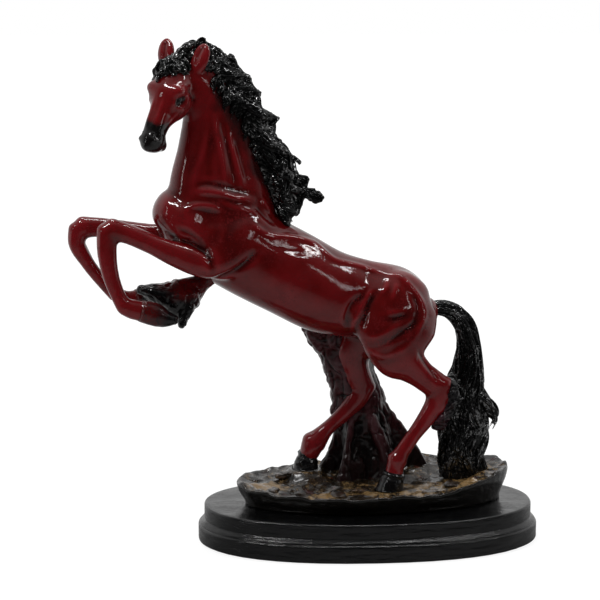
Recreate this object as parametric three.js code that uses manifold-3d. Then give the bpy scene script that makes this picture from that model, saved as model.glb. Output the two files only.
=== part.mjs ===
// A rearing horse, cast in resin and lacquered, on a rocky slab over an oval stepped plinth.
// Millimetres, +Z up. The origin is the middle of the flat face that the figure stands on, the plinth
// lies along X, and the horse faces -X with its left side, the near side, towards -Y.
//
// The horse has a frame of its own: s runs from head (-) to tail (+), w from its near side (-) to its
// far side (+), and h is the height. A form is a row of stations, and a station is
// [s, w, h, deep, wide]: the middle of a section, its half size in the plane that the form bends in,
// and its half size across that plane. Between two stations the section follows a smooth curve.
import * as THREE from 'three';
import { mergeVertices } from 'three/addons/utils/BufferGeometryUtils.js';
import Module from 'manifold-3d';

const wasm = await Module();
wasm.setup();

// Driving sizes

const glueLine = 0.3; // the adhesive between two castings
const horseYaw = THREE.MathUtils.degToRad(8); // the horse's turn on its plinth

const figureOffset = new THREE.Vector3(-1.2, 0, 0.7); // the figure's place over the plinth
const felt = { thickness: 1, inset: 2.5 };
const plinth = {
  length: 198,
  width: 114,
  height: 21,
  stepHeight: 11,
  stepInset: 3,
  cove: 1.6,
  round: 1.2,
  squareness: 2.25,
};
const slab = {
  length: 161,
  width: 82,
  thickness: 9.7,
  flare: 5,
  squareness: 1.98,
  centre: new THREE.Vector2(3.4, 2.5),
  turn: THREE.MathUtils.degToRad(4),
  tailRise: 9,
  backRise: 1.5,
  ripple: 0.45,
};
const screw = { shaft: 1.7, head: 3.4, rim: 0.8, headHeight: 2.2, point: 1.5, bite: 5, spacing: 96 };
const wire = { radius: 1.1, grip: 13, footing: 4.5 };
const dowel = { radius: 1.6, grip: 7 };

const plinthTop = felt.thickness + plinth.height;
const slabFoot = plinthTop + glueLine;
const slabTop = slabFoot + slab.thickness;

// Stations of the body and neck

const torso = [
  [-113.5, 0, 195.5, 12, 12],
  [-104.5, 0, 190, 20, 17.5],
  [-88, 0, 180.5, 24, 20],
  [-68, 0, 169.5, 25.2, 20.5],
  [-46, 0, 157.8, 25.2, 21.5],
  [-24, 0, 146, 24.6, 21],
  [-3, 0, 141, 22.8, 19.5],
  [16, 0, 137.5, 21.5, 20],
  [29, 0, 132.5, 16.5, 16.5],
  [35, 0, 132, 9, 11],
];
const neck = [
  [-80, 0, 182, 29, 16],
  [-84, 0, 195, 29.5, 16],
  [-86, 0, 210, 28, 14.5],
  [-87, -1, 231, 22.5, 11.5],
  [-89.5, -2, 249, 17.5, 9.5],
  [-94, -3.5, 262, 13.5, 8.5],
  [-100, -4.5, 271, 10, 8],
];

const neckSeam = 0.84; // the joint between the castings of body and head, as a share of the neck

// Stations of the limbs. A limb is a row of bones, and a bone's round ends lie inside its neighbours.
// The seam is the joint between the casting of the body and that of the leg, as a share of the first bone.

const limbs = {
  left_fore: {
    root: [
      [-64, -7, 190, 9, 6], [-76, -12, 179, 14, 8.5],
      [-88, -15, 169.5, 13, 8.5], [-95, -16, 167, 9, 7.5],
    ],
    bones: [
      [[-86, -15, 166.5, 9, 7.5], [-99, -16.5, 167.3, 8.4, 7], [-113, -16.3, 172.5, 7.2, 6.2],
        [-127, -16, 179, 5.6, 5.2], [-138.5, -15.5, 184.3, 5.6, 5], [-149, -15, 187.8, 6.2, 5.4]],
      [[-150.6, -15, 187, 6.2, 5.2], [-151.2, -15, 176, 5.6, 4.5], [-149.3, -15, 162, 4.8, 3.9],
        [-145.8, -15, 151.5, 4.3, 3.7], [-142, -15, 143.8, 4.6, 4.2]],
      [[-142.2, -15, 144.2, 4.9, 4.5], [-137.4, -15, 142.4, 5.6, 4.8], [-131, -15, 140.8, 5.9, 5]],
    ],
    hoof: [[-132, -15, 141.2, 6.2, 5.3], [-125, -15, 139, 6.6, 5.9], [-119.5, -15, 136.6, 5.2, 5.4],
      [-113.8, -15, 135.4, 2.8, 3.4]],
    seam: 0.2,
  },
  right_fore: {
    root: [
      [-64, 7, 190, 9, 6], [-76, 12, 180, 14, 8.5],
      [-90, 13.5, 173, 13, 8.5], [-100, 13.5, 173.5, 9, 7.5],
    ],
    bones: [
      [[-92, 12, 173, 10, 7.5], [-109, 13, 176.5, 8.8, 7], [-123.5, 13, 179, 7.2, 6],
        [-140.5, 12.5, 182.8, 6, 5.2], [-152, 12.2, 185, 5.6, 5], [-162, 12, 185.3, 6.4, 5.4]],
      [[-163.8, 12, 184.3, 6, 5.2], [-164.8, 12, 176, 4.9, 4.4], [-159.3, 12, 165.5, 4, 3.8],
        [-151.2, 12, 154.5, 3.7, 3.6], [-143.6, 12, 146.6, 4.4, 4.2]],
      [[-143.6, 12, 146.6, 4.3, 4.2], [-137, 12, 144.2, 4.1, 4], [-130, 12, 144.6, 4.3, 4.2]],
    ],
    hoof: [[-131, 12, 144.5, 4.8, 4.6], [-126, 12, 145.2, 5.4, 5.4], [-115.5, 12, 146, 6.2, 6.4]],
    seam: 0.2,
  },
  left_hind: {
    root: [
      [20, -8, 149, 16, 9], [16, -12, 139, 23.5, 11.5],
      [13.5, -14, 125, 24, 12], [12, -15, 113, 18, 10.5],
    ],
    bones: [
      [[9, -15, 118, 15, 9.5], [14.5, -16, 109.5, 13.6, 8.8], [22, -16, 103.7, 10.2, 7.5],
        [29.5, -16, 97.3, 8, 6.3], [37, -16, 91.8, 8, 5.8]],
      [[39.5, -16, 93.3, 7.8, 5.5], [38, -16, 82, 7, 5.3], [31.8, -16, 72.5, 5.3, 4.6],
        [23.6, -16, 61.7, 4.3, 4.1], [17.5, -16, 53, 4.5, 4.3], [14.6, -16, 48.5, 6, 5.4]],
      [[14.8, -16, 48.5, 5.8, 5.3], [13.4, -16, 44, 5.2, 5], [12.6, -16, 40, 5.4, 5.4]],
    ],
    hoof: [[12.8, -16, 41, 5.8, 5.8], [11.8, -16, 37, 6.8, 6.8], [9.5, -16, 28, 8.4, 8.2]],
    rise: 0,
    seam: 0.25,
  },
  right_hind: {
    root: [
      [22, 8, 146, 14, 9], [18, 11, 136, 19, 11.5],
      [9, 13.5, 123, 18, 11.5], [0, 14.5, 112, 12, 9.5],
    ],
    bones: [
      [[0, 14, 120, 12, 9], [-4.5, 15, 107, 10.3, 8.3], [-2.5, 15, 96, 8, 6.8], [1, 15, 86.5, 7.6, 6]],
      [[2.5, 15, 87.5, 7.6, 5.5], [-2.3, 15, 78, 6.4, 5], [-9, 15, 71, 5, 4.5],
        [-17.5, 15, 63.5, 4.3, 4.1], [-25.3, 15, 57.3, 4.6, 4.3], [-29.5, 15, 54.3, 5.8, 5.3]],
      [[-29.3, 15, 54.5, 5.6, 5.2], [-30.6, 15, 50.5, 5, 4.8], [-31.2, 15, 46.8, 5.2, 5.2]],
    ],
    hoof: [[-31, 15, 47.8, 5.6, 5.6], [-31.6, 15, 44, 6.6, 6.6], [-33, 15, 35.5, 8, 8]],
    rise: 7.2,
    seam: 0.33,
  },
};

// The head has axes of its own: along it from poll to muzzle, up out of its face, and out to a side.
const head = {
  poll: [-108.5, -5, 276],
  turn: THREE.MathUtils.degToRad(46.5),
  nod: THREE.MathUtils.degToRad(57),
  tilt: THREE.MathUtils.degToRad(5),
  // along, up, deep, wide
  stations: [
    [-3, -7, 6, 6.5],
    [2, -6, 9.5, 9],
    [9, -5, 12, 10.4],
    [16, -4.8, 12.2, 11],
    [22, -4.6, 11.6, 10],
    [28, -3.6, 9.2, 8],
    [34, -2.8, 7.2, 6.4],
    [40, -3, 6.4, 5.6],
    [44.5, -4, 7, 6.3],
    [48, -4.8, 5.2, 5],
  ],
  eye: { along: 20.2, up: 1, out: 8.8, radius: 2.4 },
  // along, up, out, deep, wide, from root to tip
  ear: [
    [1.4, -3, 8.8, 2.9, 3.4],
    [-3, -1.7, 10.4, 2.9, 4.8],
    [-8.5, 0.3, 11.8, 2.5, 4.9],
    [-13, 2, 12.5, 1.2, 2],
  ],
};

const tail = [
  [33, 0, 132, 3.6, 4],
  [42, 0, 134, 3.8, 4.2],
  [51, 0, 131.5, 4.6, 5],
  [58, 0, 124, 5.4, 6],
  [61.5, 0, 111, 6.2, 7],
  [60.8, 0, 98, 7.8, 8],
  [59.2, 0, 84, 11, 9.5],
  [58.4, 0, 68, 13.4, 10.5],
  [58.6, 0, 52, 13.8, 11.5],
  [59.2, 0, 34, 14.6, 12],
];
const crest = [
  [-106, -5, 281, 4.5, 5],
  [-95, -4, 280.5, 5.5, 5.5],
  [-84, -3, 274, 6.5, 6.5],
  [-74, -2, 258, 8, 6.5],
  [-66, -1.5, 241, 9, 6.5],
  [-58.5, -1, 223, 9.4, 6.5],
  [-51, -0.5, 206, 9, 6],
  [-46, 0, 192, 6, 4.5],
];
const trunk = {
  stations: [
    [-23, 13, 128, 13.5, 8],
    [-18, 19, 118, 13.5, 10],
    [-11, 22, 110, 14, 10.5],
    [-6, 23, 97, 14.5, 11],
    [-1.5, 24, 84, 15, 11.5],
    [2, 24, 72, 16, 12],
    [5, 23, 60, 18.5, 13],
    [7.5, 21, 46, 23, 14],
    [8.5, 19, 28, 30, 16],
  ],
  roots: 6,
  rootDepth: 0.28,
  bark: 0.045,
};
const brace = [
  [-83, 3, 161, 4, 4],
  [-92, 2, 155.4, 4.6, 5],
  [-100, 1, 150.6, 7.4, 7],
  [-108, -1, 145.4, 11.2, 9.5],
  [-117, -1, 146.2, 8.2, 9.5],
  [-126, -1, 149, 5.2, 7],
  [-131, -1, 150.4, 2.6, 4],
];

// Shaping tools

const vertical = new THREE.Vector3(0, 0, 1);
const across = new THREE.Vector3(0, 1, 0).applyAxisAngle(vertical, horseYaw);
const smooth = THREE.MathUtils.smoothstep;

// The place on the part of a point in the horse's frame.
function place([s, w, h]) {
  return new THREE.Vector3(s, w, h).applyAxisAngle(vertical, horseYaw).add(figureOffset);
}

// A closed skin over rings of points, with a fan over the first ring and the last.
function skin(rings) {
  const count = rings[0].length;
  const centreOf = (ring) => ring.reduce((sum, p) => sum.add(p), new THREE.Vector3()).divideScalar(count);
  const points = [...rings.flat(), centreOf(rings[0]), centreOf(rings.at(-1))];
  const index = [];
  const first = rings.length * count;
  for (let i = 0; i < count; i++) {
    const next = (i + 1) % count;
    for (let r = 0; r + 1 < rings.length; r++) {
      const [a, b] = [r * count + i, r * count + next];
      index.push(a, b, a + count, b, b + count, a + count);
    }
    index.push(first, next, i);
    index.push(first + 1, first - count + i, first - count + next);
  }
  return new THREE.BufferGeometry().setFromPoints(points).setIndex(index);
}

// The solid inside a closed geometry, whichever way its faces were wound.
function solidOf(geometry) {
  const bare = geometry.index ? geometry.toNonIndexed() : geometry.clone();
  bare.deleteAttribute('normal');
  bare.deleteAttribute('uv');
  const merged = mergeVertices(bare, 1e-4);
  const make = (triVerts) => new wasm.Manifold(
    new wasm.Mesh({ numProp: 3, vertProperties: merged.attributes.position.array, triVerts }),
  );
  const faces = new Uint32Array(merged.index.array);
  const solid = make(faces);
  return solid.volume() > 0 ? solid : make(faces.toReversed());
}

function geometryOf(solid) {
  const mesh = solid.getMesh();
  return new THREE.BufferGeometry()
    .setAttribute('position', new THREE.BufferAttribute(new Float32Array(mesh.vertProperties), 3))
    .setIndex(new THREE.BufferAttribute(new Uint32Array(mesh.triVerts), 1))
    .toNonIndexed();
}

const join = (solids) => solids.reduce((whole, solid) => whole.add(solid));
const cut = (solid, tools) => tools.reduce((rest, tool) => rest.subtract(tool), solid);

// The biggest of the separate bodies in a solid, without the crumbs that a cut leaves.
function mainBody(solid) {
  return solid.decompose().reduce((best, body) => (body.volume() > best.volume() ? body : best));
}

// A smooth row of sections through stations, and a way to read it at any share of its length.
class Form {
  // sections: { centre, deep, wide } at each station
  constructor(sections, { side = across } = {}) {
    this.side = side;
    this.curve = new THREE.CatmullRomCurve3(sections.map(({ centre }) => centre), false, 'centripetal');
    this.sizes = new THREE.CatmullRomCurve3(
      sections.map(({ deep, wide }) => new THREE.Vector3(deep, wide, 0)), false, 'centripetal',
    );
  }

  static along(stations) {
    return new Form(stations.map(([s, w, h, deep, wide]) => ({ centre: place([s, w, h]), deep, wide })));
  }

  section(t) {
    const centre = this.curve.getPoint(t);
    const along = this.curve.getTangent(t);
    const wideAxis = this.side.clone().addScaledVector(along, -along.dot(this.side)).normalize();
    const deepAxis = along.clone().cross(wideAxis);
    const size = this.sizes.getPoint(t);
    return { centre, along, wideAxis, deepAxis, deep: size.x, wide: size.y };
  }

  // A ring of points. pinch narrows the deep side of the section, and lobe changes the radius.
  ring(t, { sides, grow = 0, shrink = 1, shift = 0, pinch = 0, lobe = () => 1, swells = [] }) {
    const { centre, along, wideAxis, deepAxis, deep, wide } = this.section(t);
    const middle = centre.clone().addScaledVector(along, shift);
    return Array.from({ length: sides }, (_, i) => {
      const angle = (2 * Math.PI * i) / sides;
      const [c, s] = [Math.cos(angle), Math.sin(angle)];
      const scale = shrink * lobe(angle, t);
      const point = middle.clone()
        .addScaledVector(deepAxis, (deep + grow) * scale * c)
        .addScaledVector(wideAxis, (wide + grow) * scale * s * (1 - pinch * c));
      const outward = point.clone().sub(centre).normalize();
      let lift = 0;
      for (const { at, reach, rise } of swells) {
        lift += rise * Math.exp(-point.distanceToSquared(at) / reach ** 2);
      }
      return point.addScaledVector(outward, lift);
    });
  }

  // The solid: rings at even shares, and rounded or flat ends.
  solid({ steps, sides, round = 0.8, ...look }) {
    const rings = [];
    const first = this.section(0);
    const last = this.section(1);
    const bulge = (section) => round * Math.min(section.deep, section.wide);
    if (round) {
      rings.push(this.ring(0, { sides, ...look, shrink: 0.35, shift: -bulge(first) }));
      rings.push(this.ring(0, { sides, ...look, shrink: 0.78, shift: -0.66 * bulge(first) }));
    }
    for (let i = 0; i <= steps; i++) rings.push(this.ring(i / steps, { sides, ...look }));
    if (round) {
      rings.push(this.ring(1, { sides, ...look, shrink: 0.78, shift: 0.66 * bulge(last) }));
      rings.push(this.ring(1, { sides, ...look, shrink: 0.35, shift: bulge(last) }));
    }
    return solidOf(skin(rings));
  }
}

// A round rod along a row of points.
function rod(points, radius, steps = 1) {
  const sections = points.map((centre) => ({ centre, deep: radius, wide: radius }));
  return new Form(sections, { side: sideOf(points) }).solid({ steps, sides: 8, round: 0 });
}

// An axis that a row of points never runs along.
function sideOf(points) {
  const run = points.at(-1).clone().sub(points[0]).normalize();
  return Math.abs(run.dot(across)) > 0.7 ? vertical : across;
}

// Plinth, felt and slab

// A ring of an oval in plan. height is a number, or a function of the point's place.
function ovalRing(oval, halfLength, halfWidth, height, sides) {
  const power = 2 / oval.squareness;
  const { centre = new THREE.Vector2(), turn = 0 } = oval;
  return Array.from({ length: sides }, (_, i) => {
    const angle = (2 * Math.PI * i) / sides;
    const [c, s] = [Math.cos(angle), Math.sin(angle)];
    const plan = new THREE.Vector2(
      halfLength * Math.sign(c) * Math.abs(c) ** power,
      halfWidth * Math.sign(s) * Math.abs(s) ** power,
    ).rotateAround(new THREE.Vector2(), turn).add(centre);
    return new THREE.Vector3(plan.x, plan.y, typeof height === 'number' ? height : height(plan.x, plan.y));
  });
}

const plinthRing = (inset, z) => ovalRing(plinth, plinth.length / 2 - inset, plinth.width / 2 - inset, z, 44);

// Upright round holes at the places of the screws.
function screwHoles(from, to, radius) {
  return [-1, 1].map((side) => {
    const x = (side * screw.spacing) / 2;
    return rod([new THREE.Vector3(x, 0, from), new THREE.Vector3(x, 0, to)], radius);
  });
}

function plinthSolid() {
  const foot = felt.thickness;
  const step = foot + plinth.stepHeight;
  const { round, cove, stepInset: inset } = plinth;
  const body = solidOf(skin([
    plinthRing(round * 0.5, foot),
    plinthRing(0, foot + round),
    plinthRing(0, step - round),
    plinthRing(round * 0.4, step - round * 0.3),
    plinthRing(round + 0.3, step),
    plinthRing(inset - cove * 0.5, step + 0.2),
    plinthRing(inset, step + cove),
    plinthRing(inset + cove * 0.5, step + cove * 2.2),
    plinthRing(inset + cove * 0.5, plinthTop - round),
    plinthRing(inset + cove * 0.5 + round * 0.3, plinthTop - round * 0.3),
    plinthRing(inset + cove * 0.5 + round, plinthTop),
  ]));
  const shafts = screwHoles(foot - 1, plinthTop + 1, screw.shaft + glueLine);
  const heads = screwHoles(foot - 1, foot + screw.headHeight + glueLine, screw.head + glueLine);
  return cut(body, [...shafts, ...heads]);
}

function feltSolid() {
  return solidOf(skin([plinthRing(felt.inset, 0), plinthRing(felt.inset, felt.thickness - glueLine)]));
}

function screwSolid(side) {
  const x = (side * screw.spacing) / 2;
  const seat = felt.thickness;
  const tip = slabFoot + screw.bite;
  const profile = [
    [0, seat],
    [screw.head, seat],
    [screw.head, seat + screw.rim],
    [screw.shaft, seat + screw.headHeight - glueLine],
    [screw.shaft, tip - screw.point],
    [0, tip],
  ].map(([r, z]) => new THREE.Vector2(r, z));
  return solidOf(new THREE.LatheGeometry(profile, 12).rotateX(Math.PI / 2).translate(x, 0, 0));
}

// The rock under the horse

const planOf = (point) => new THREE.Vector2(point.x, point.y);
const inPlan = (s, w) => planOf(place([s, w, 0]));
const soleHeight = (limb) => slabTop + limb.rise + glueLine;
const standing = [limbs.left_hind, limbs.right_hind];
const hoofPads = standing.map((limb) => ({
  centre: planOf(place(limb.hoof.at(-1))), top: slabTop + limb.rise, radius: 9,
}));
const mounds = [
  { centre: inPlan(-31, 18), rise: 6.5, reach: 17 },
  { centre: inPlan(10, 26), rise: 4, reach: 24 },
  { centre: inPlan(34, 26), rise: 7, reach: 15 },
];
// Loose stones set in the rock: along the plinth, across it, and size
const stones = [[-55, -12, 5], [-42, -21, 6], [-24, -26, 7], [30, -25, 5.5], [45, -14, 6], [-6, -14, 5]];

// The height of the rock's upper face at a place in plan.
function ground(x, y) {
  const spot = new THREE.Vector2(x, y);
  const local = spot.clone().sub(slab.centre);
  let z = slabTop;
  z += slab.tailRise * smooth(local.x / (slab.length / 2), 0.3, 1.1);
  z += slab.backRise * smooth(local.y / (slab.width / 2), 0, 1);
  z += slab.ripple * (Math.sin(x * 0.43 + 1.1) * Math.sin(y * 0.52 + 0.4) + Math.sin(x * 0.19 - y * 0.31));
  for (const { centre, rise, reach } of mounds) {
    z += rise * Math.exp(-spot.distanceToSquared(centre) / reach ** 2);
  }
  for (const { centre, top, radius } of hoofPads) {
    z = top + (z - top) * smooth(spot.distanceTo(centre), radius, radius + 5);
  }
  return z;
}

function stoneSolid([x, y, size]) {
  const stone = new THREE.IcosahedronGeometry(size, 1);
  stone.scale(1, 0.75, 0.5).rotateZ(x).translate(x, y, ground(x, y) - size * 0.2);
  return solidOf(stone);
}

function slabSolid(grow = 0) {
  const { length, width, flare } = slab;
  const [a, b] = [length / 2 + grow, width / 2 + grow];
  const top = (x, y) => ground(x, y) + grow;
  const ring = (inset, height) => ovalRing(slab, a - inset, b - inset, height, 36);
  const shares = [0.9, 0.72, 0.54, 0.36, 0.18];
  const rock = solidOf(skin([
    ring(flare, slabFoot),
    ring(flare * 0.8, slabFoot + 2),
    ring(0.5, (x, y) => top(x, y) - 2.2),
    ring(0, (x, y) => top(x, y) - 0.9),
    ring(0.9, top),
    ...shares.map((share) => ovalRing(slab, a * share, b * share, top, 36)),
  ]));
  return join([rock, ...stones.map(stoneSolid)]);
}

// Horse

const headAxes = (() => {
  const forward = new THREE.Vector3(-1, 0, 0).applyAxisAngle(vertical, head.turn + horseYaw);
  const level = vertical.clone().cross(forward);
  const left = level.multiplyScalar(Math.cos(head.tilt)).addScaledVector(vertical, -Math.sin(head.tilt));
  const crown = forward.clone().cross(left);
  const along = forward.multiplyScalar(Math.cos(head.nod)).addScaledVector(crown, -Math.sin(head.nod));
  return { along, left, up: along.clone().cross(left) };
})();

function headPoint(along, up, left) {
  return place(head.poll)
    .addScaledVector(headAxes.along, along)
    .addScaledVector(headAxes.up, up)
    .addScaledVector(headAxes.left, left);
}

function headForm(rows) {
  const sections = rows.map(({ point, deep, wide }) => ({ centre: headPoint(...point), deep, wide }));
  return new Form(sections, { side: headAxes.left });
}

const swell = (s, w, h, reach, rise) => ({ at: place([s, w, h]), reach, rise });
const bothSides = (s, w, h, reach, rise) => [-w, w].map((side) => swell(s, side, h, reach, rise));
const headSwell = (along, up, out, reach, rise) => [-out, out].map(
  (side) => ({ at: headPoint(along, up, side), reach, rise }),
);

const bodySwells = [
  ...bothSides(-109, 9, 197, 10, 3), // breast
  ...bothSides(-66, 14, 182, 12, 2), // shoulder blade
  swell(-50, 0, 186, 12, 2.5), // withers
  ...bothSides(18, 14, 154, 10, 2), // point of hip
  ...bothSides(-5, 19, 140, 12, -1.5), // flank
];
const neckSwells = [
  ...bothSides(-101, 9, 212, 10, -1.2), // jugular furrow
  ...bothSides(-80, 13, 215, 14, 1.2),
];
const headSwells = [
  ...headSwell(16.5, 5.5, 10.5, 5.2, 6.5), // brow
  ...headSwell(22, -10, 8, 6.5, 1.6), // cheek
  ...headSwell(29, -1, 8, 5, -0.8),
  ...headSwell(45, 0.5, 5, 3, 1), // nostril wing
];

const boneSolid = (stations, grow = 0) => Form.along(stations).solid({
  sides: 8, steps: Math.round(stations.length * 1.5), round: 0.85, grow,
});

// The plane square to a form at a share of its length.
function seamAt(form, share) {
  const { centre, along } = form.section(share);
  const normal = along.toArray();
  return { centre, along, normal, back: normal.map((n) => -n), offset: centre.dot(along) };
}
const seamOf = ({ bones, seam }) => seamAt(Form.along(bones[0]), seam);

// The two castings that meet at a seam: the leg past it, and the stump that belongs to the body.
function legSolid(limb, grow = 0) {
  const { normal, offset } = seamOf(limb);
  const [first, ...rest] = limb.bones.map((bone) => boneSolid(bone, grow));
  return join([first.trimByPlane(normal, offset + glueLine - grow), ...rest]);
}
function stumpSolid(limb, grow = 0) {
  const { back, offset } = seamOf(limb);
  const root = Form.along(limb.root).solid({ steps: 5, sides: 10, grow });
  return root.add(boneSolid(limb.bones[0], grow).trimByPlane(back, -offset - grow));
}

const neckSolid = (grow) => Form.along(neck).solid({
  steps: 11, sides: 14, grow, pinch: -0.28, swells: neckSwells,
});
const nape = seamAt(Form.along(neck), neckSeam);

function bodySolid(grow = 0) {
  const barrel = Form.along(torso).solid({ steps: 15, sides: 18, grow, pinch: 0.1, swells: bodySwells });
  const throat = neckSolid(grow).trimByPlane(nape.back, -nape.offset - grow);
  const stumps = Object.values(limbs).map((limb) => stumpSolid(limb, grow));
  return join([barrel, throat, ...stumps]);
}

function earSolid(side, grow) {
  const rowAt = ([along, up, out, deep, wide]) => ({ point: [along, up, side * out], deep, wide });
  const rows = head.ear.map(rowAt);
  return headForm(rows).solid({ steps: 4, sides: 7, grow, round: 0.5 });
}

function headSolid(grow = 0) {
  const rows = head.stations.map(([along, up, deep, wide]) => ({ point: [along, up, 0], deep, wide }));
  const look = { pinch: -0.1, round: 0.6, swells: headSwells };
  const skull = headForm(rows).solid({ steps: 15, sides: 18, grow, ...look });
  const neckTop = neckSolid(grow).trimByPlane(nape.normal, nape.offset + glueLine - grow);
  return join([skull, neckTop, earSolid(-1, grow), earSolid(1, grow)]);
}

function eyeSolid(side, grow = 0) {
  const { along, up, out, radius } = head.eye;
  const eye = new THREE.SphereGeometry(radius + grow, 8, 6);
  return solidOf(eye.translate(...headPoint(along, up, side * out).toArray()));
}

function hoofSolid(limb, grow = 0) {
  const hoof = Form.along(limb.hoof).solid({ steps: 3, sides: 12, round: 0, grow });
  return 'rise' in limb ? hoof.trimByPlane([0, 0, 1], soleHeight(limb) - grow) : hoof;
}

// The wire that stiffens a leg, from the body to the hoof, and on into the rock under a standing hoof.
function wireSolid(limb, grow = 0) {
  const seam = seamOf(limb);
  const inward = seam.centre.clone().addScaledVector(seam.along, -wire.grip);
  const joints = limb.bones.slice(0, -1).map((bone) => place(bone.at(-1)));
  const path = [inward, seam.centre, ...joints, place(limb.hoof[1])];
  if ('rise' in limb) path.push(place(limb.hoof.at(-1)).setZ(soleHeight(limb) - wire.footing));
  const sections = path.map((centre) => ({ centre, deep: wire.radius + grow, wide: wire.radius + grow }));
  return new Form(sections).solid({ steps: 9, sides: 6, round: 0 });
}

// Hair

// A lock of hair that waves along a row of points and thins to its tip.
function lock(points, radius, { wave = 1, turns = 1.5, phase = 0, steps = 4, sides = 5 } = {}) {
  const curve = new THREE.CatmullRomCurve3(points, false, 'centripetal');
  const sections = Array.from({ length: steps + 1 }, (_, i) => {
    const t = i / steps;
    const swing = wave * Math.sin(2 * Math.PI * turns * t + phase) * (0.3 + t);
    const centre = curve.getPoint(t).add(new THREE.Vector3(swing, swing * 0.4, swing * 0.6));
    const deep = radius * (0.75 + 0.5 * Math.sin(Math.PI * Math.min(1, t * 1.2))) * (1 - 0.72 * t ** 3);
    return { centre, deep, wide: deep * 0.8 };
  });
  return new Form(sections, { side: sideOf(points) }).solid({ steps, sides, round: 0 });
}

// Locks along the crest, from the poll to the withers. A spray stands off the back of the neck and a
// drape hangs over one of its sides; each pair is the reach of its tip and how far it falls.
const maneSprays = [[5, 2], [6, 6], [6, 8], [6, 10], [7, 8], [6, 11], [7.5, 9], [7, 11], [8, 8]];
const maneDrapes = [[9, 14], [9, 16], [10, 18], [10, 18], [10, 17], [9, 16], [7, 13]];

function maneSolid() {
  const line = Form.along(crest);
  const at = (t, out, side, down) => {
    const { centre, along, wideAxis, deepAxis } = line.section(t);
    return centre.clone()
      .addScaledVector(deepAxis, out)
      .addScaledVector(wideAxis, side)
      .addScaledVector(along, down);
  };
  const sprays = maneSprays.map(([reach, fall], i) => {
    const t = 0.12 + (0.84 * i) / (maneSprays.length - 1);
    const points = [at(t, 0, 0, -3), at(t, reach * 0.8, -1, -1), at(t, reach + 4, -2, fall)];
    return lock(points, 4, { phase: i * 1.7 });
  });
  const drapes = [-1, 1].flatMap((side) => maneDrapes.map(([reach, fall], i) => {
    const t = 0.18 + (0.72 * i) / (maneDrapes.length - 1);
    const root = at(t, 2, side * 4, -3);
    const hip = at(t, -2, side * 8.5, fall * 0.3);
    const tip = at(t, -reach, side * 9, fall);
    return lock([root, hip, tip], 3.4, { phase: i * 2 + side, wave: 0.9 });
  }));
  const knotPath = [headPoint(-1, 1, 0), headPoint(-8, -3, 1), headPoint(-17, -5, 2)];
  const topknot = lock(knotPath, 4.6, { wave: 0.5 });
  return join([line.solid({ steps: 10, sides: 8 }), topknot, ...sprays, ...drapes]);
}

function forelockSolid() {
  const cap = headForm([
    { point: [-4, 4, 0], deep: 3, wide: 6.5 },
    { point: [3, 7, 0], deep: 3.4, wide: 8 },
    { point: [9, 8.5, -1], deep: 2.4, wide: 7 },
  ]).solid({ steps: 4, sides: 9 });
  const locks = [-7, -3, 1, 5].map((left, i) => lock([
    headPoint(-2, 6, left * 0.6), headPoint(6, 10, left), headPoint(14, 9, left * 1.2),
  ], 2.2, { wave: 0.6, phase: i * 2 }));
  return join([cap, ...locks]);
}

const tailStrands = 7;

function tailSolid() {
  const line = Form.along(tail);
  const core = line.solid({ steps: 11, sides: 10 });
  const strands = Array.from({ length: tailStrands }, (_, k) => {
    const points = Array.from({ length: 8 }, (_, i) => {
      const t = 0.1 + (0.9 * i) / 7;
      const angle = (2 * Math.PI * k) / tailStrands + 1.6 * t;
      const { centre, deepAxis, wideAxis, deep, wide } = line.section(t);
      return centre.clone()
        .addScaledVector(deepAxis, deep * 0.9 * Math.cos(angle))
        .addScaledVector(wideAxis, wide * 0.9 * Math.sin(angle));
    });
    return lock(points, 3.3, { turns: 3, phase: k * 2.1, steps: 9 });
  });
  const curl = [[64, -4, 97], [69, -5, 87], [73, -6, 78], [76.5, -7, 71], [75, -8, 66]].map(place);
  return join([core, ...strands, lock(curl, 3.4, { wave: 0.6, steps: 8 })]);
}

// The tree trunk and the brace

function trunkSolid() {
  const lobe = (angle, t) => 1
    + trunk.rootDepth * smooth(t, 0.6, 1) * Math.cos(trunk.roots * angle + 1)
    + trunk.bark * Math.sin(9 * angle + 14 * t) * Math.cos(23 * t);
  return Form.along(trunk.stations).solid({ steps: 12, sides: 18, round: 0, lobe });
}

const braceSolid = () => Form.along(brace).solid({ steps: 9, sides: 10 });

// A dowel across a seam, with equal grip on both sides of it.
function dowelSolid({ centre, along }, grip, grow = 0) {
  const ends = [-1, 1].map((end) => centre.clone().addScaledVector(along, end * (grip + grow)));
  return rod(ends, dowel.radius + grow);
}

// Assembly

const redLacquer = { color: 0x5a0a0e, roughness: 0.22, metalness: 0 };
const blackLacquer = { color: 0x0b0b0c, roughness: 0.25, metalness: 0 };
const bark = { color: 0x2c1512, roughness: 0.4, metalness: 0 };
const rock = { color: 0x3a2a16, roughness: 0.42, metalness: 0.15 };
const steel = { color: 0x9a9a98, roughness: 0.35, metalness: 1 };
const blackFelt = { color: 0x141414, roughness: 0.95, metalness: 0 };

const statue = new THREE.Group();

function add(name, solid, finish) {
  const mesh = new THREE.Mesh(geometryOf(mainBody(solid)), new THREE.MeshStandardMaterial(finish));
  mesh.name = name;
  statue.add(mesh);
}

// Each tool is its piece grown by the glue line, and what it cuts is left that far off the piece.
const limbList = Object.values(limbs);
const bodyTool = bodySolid(glueLine);
const headTool = headSolid(glueLine);
const slabTool = slabSolid(glueLine);
const legTools = limbList.map((limb) => legSolid(limb, glueLine));
const hoofTools = limbList.map((limb) => hoofSolid(limb, glueLine));
const wireTools = limbList.map((limb) => wireSolid(limb, glueLine));
const neckDowel = (grow) => dowelSolid(nape, dowel.grip, grow);
const tailDowel = (grow) => dowelSolid(Form.along(tail).section(0.1), dowel.grip, grow);

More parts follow.
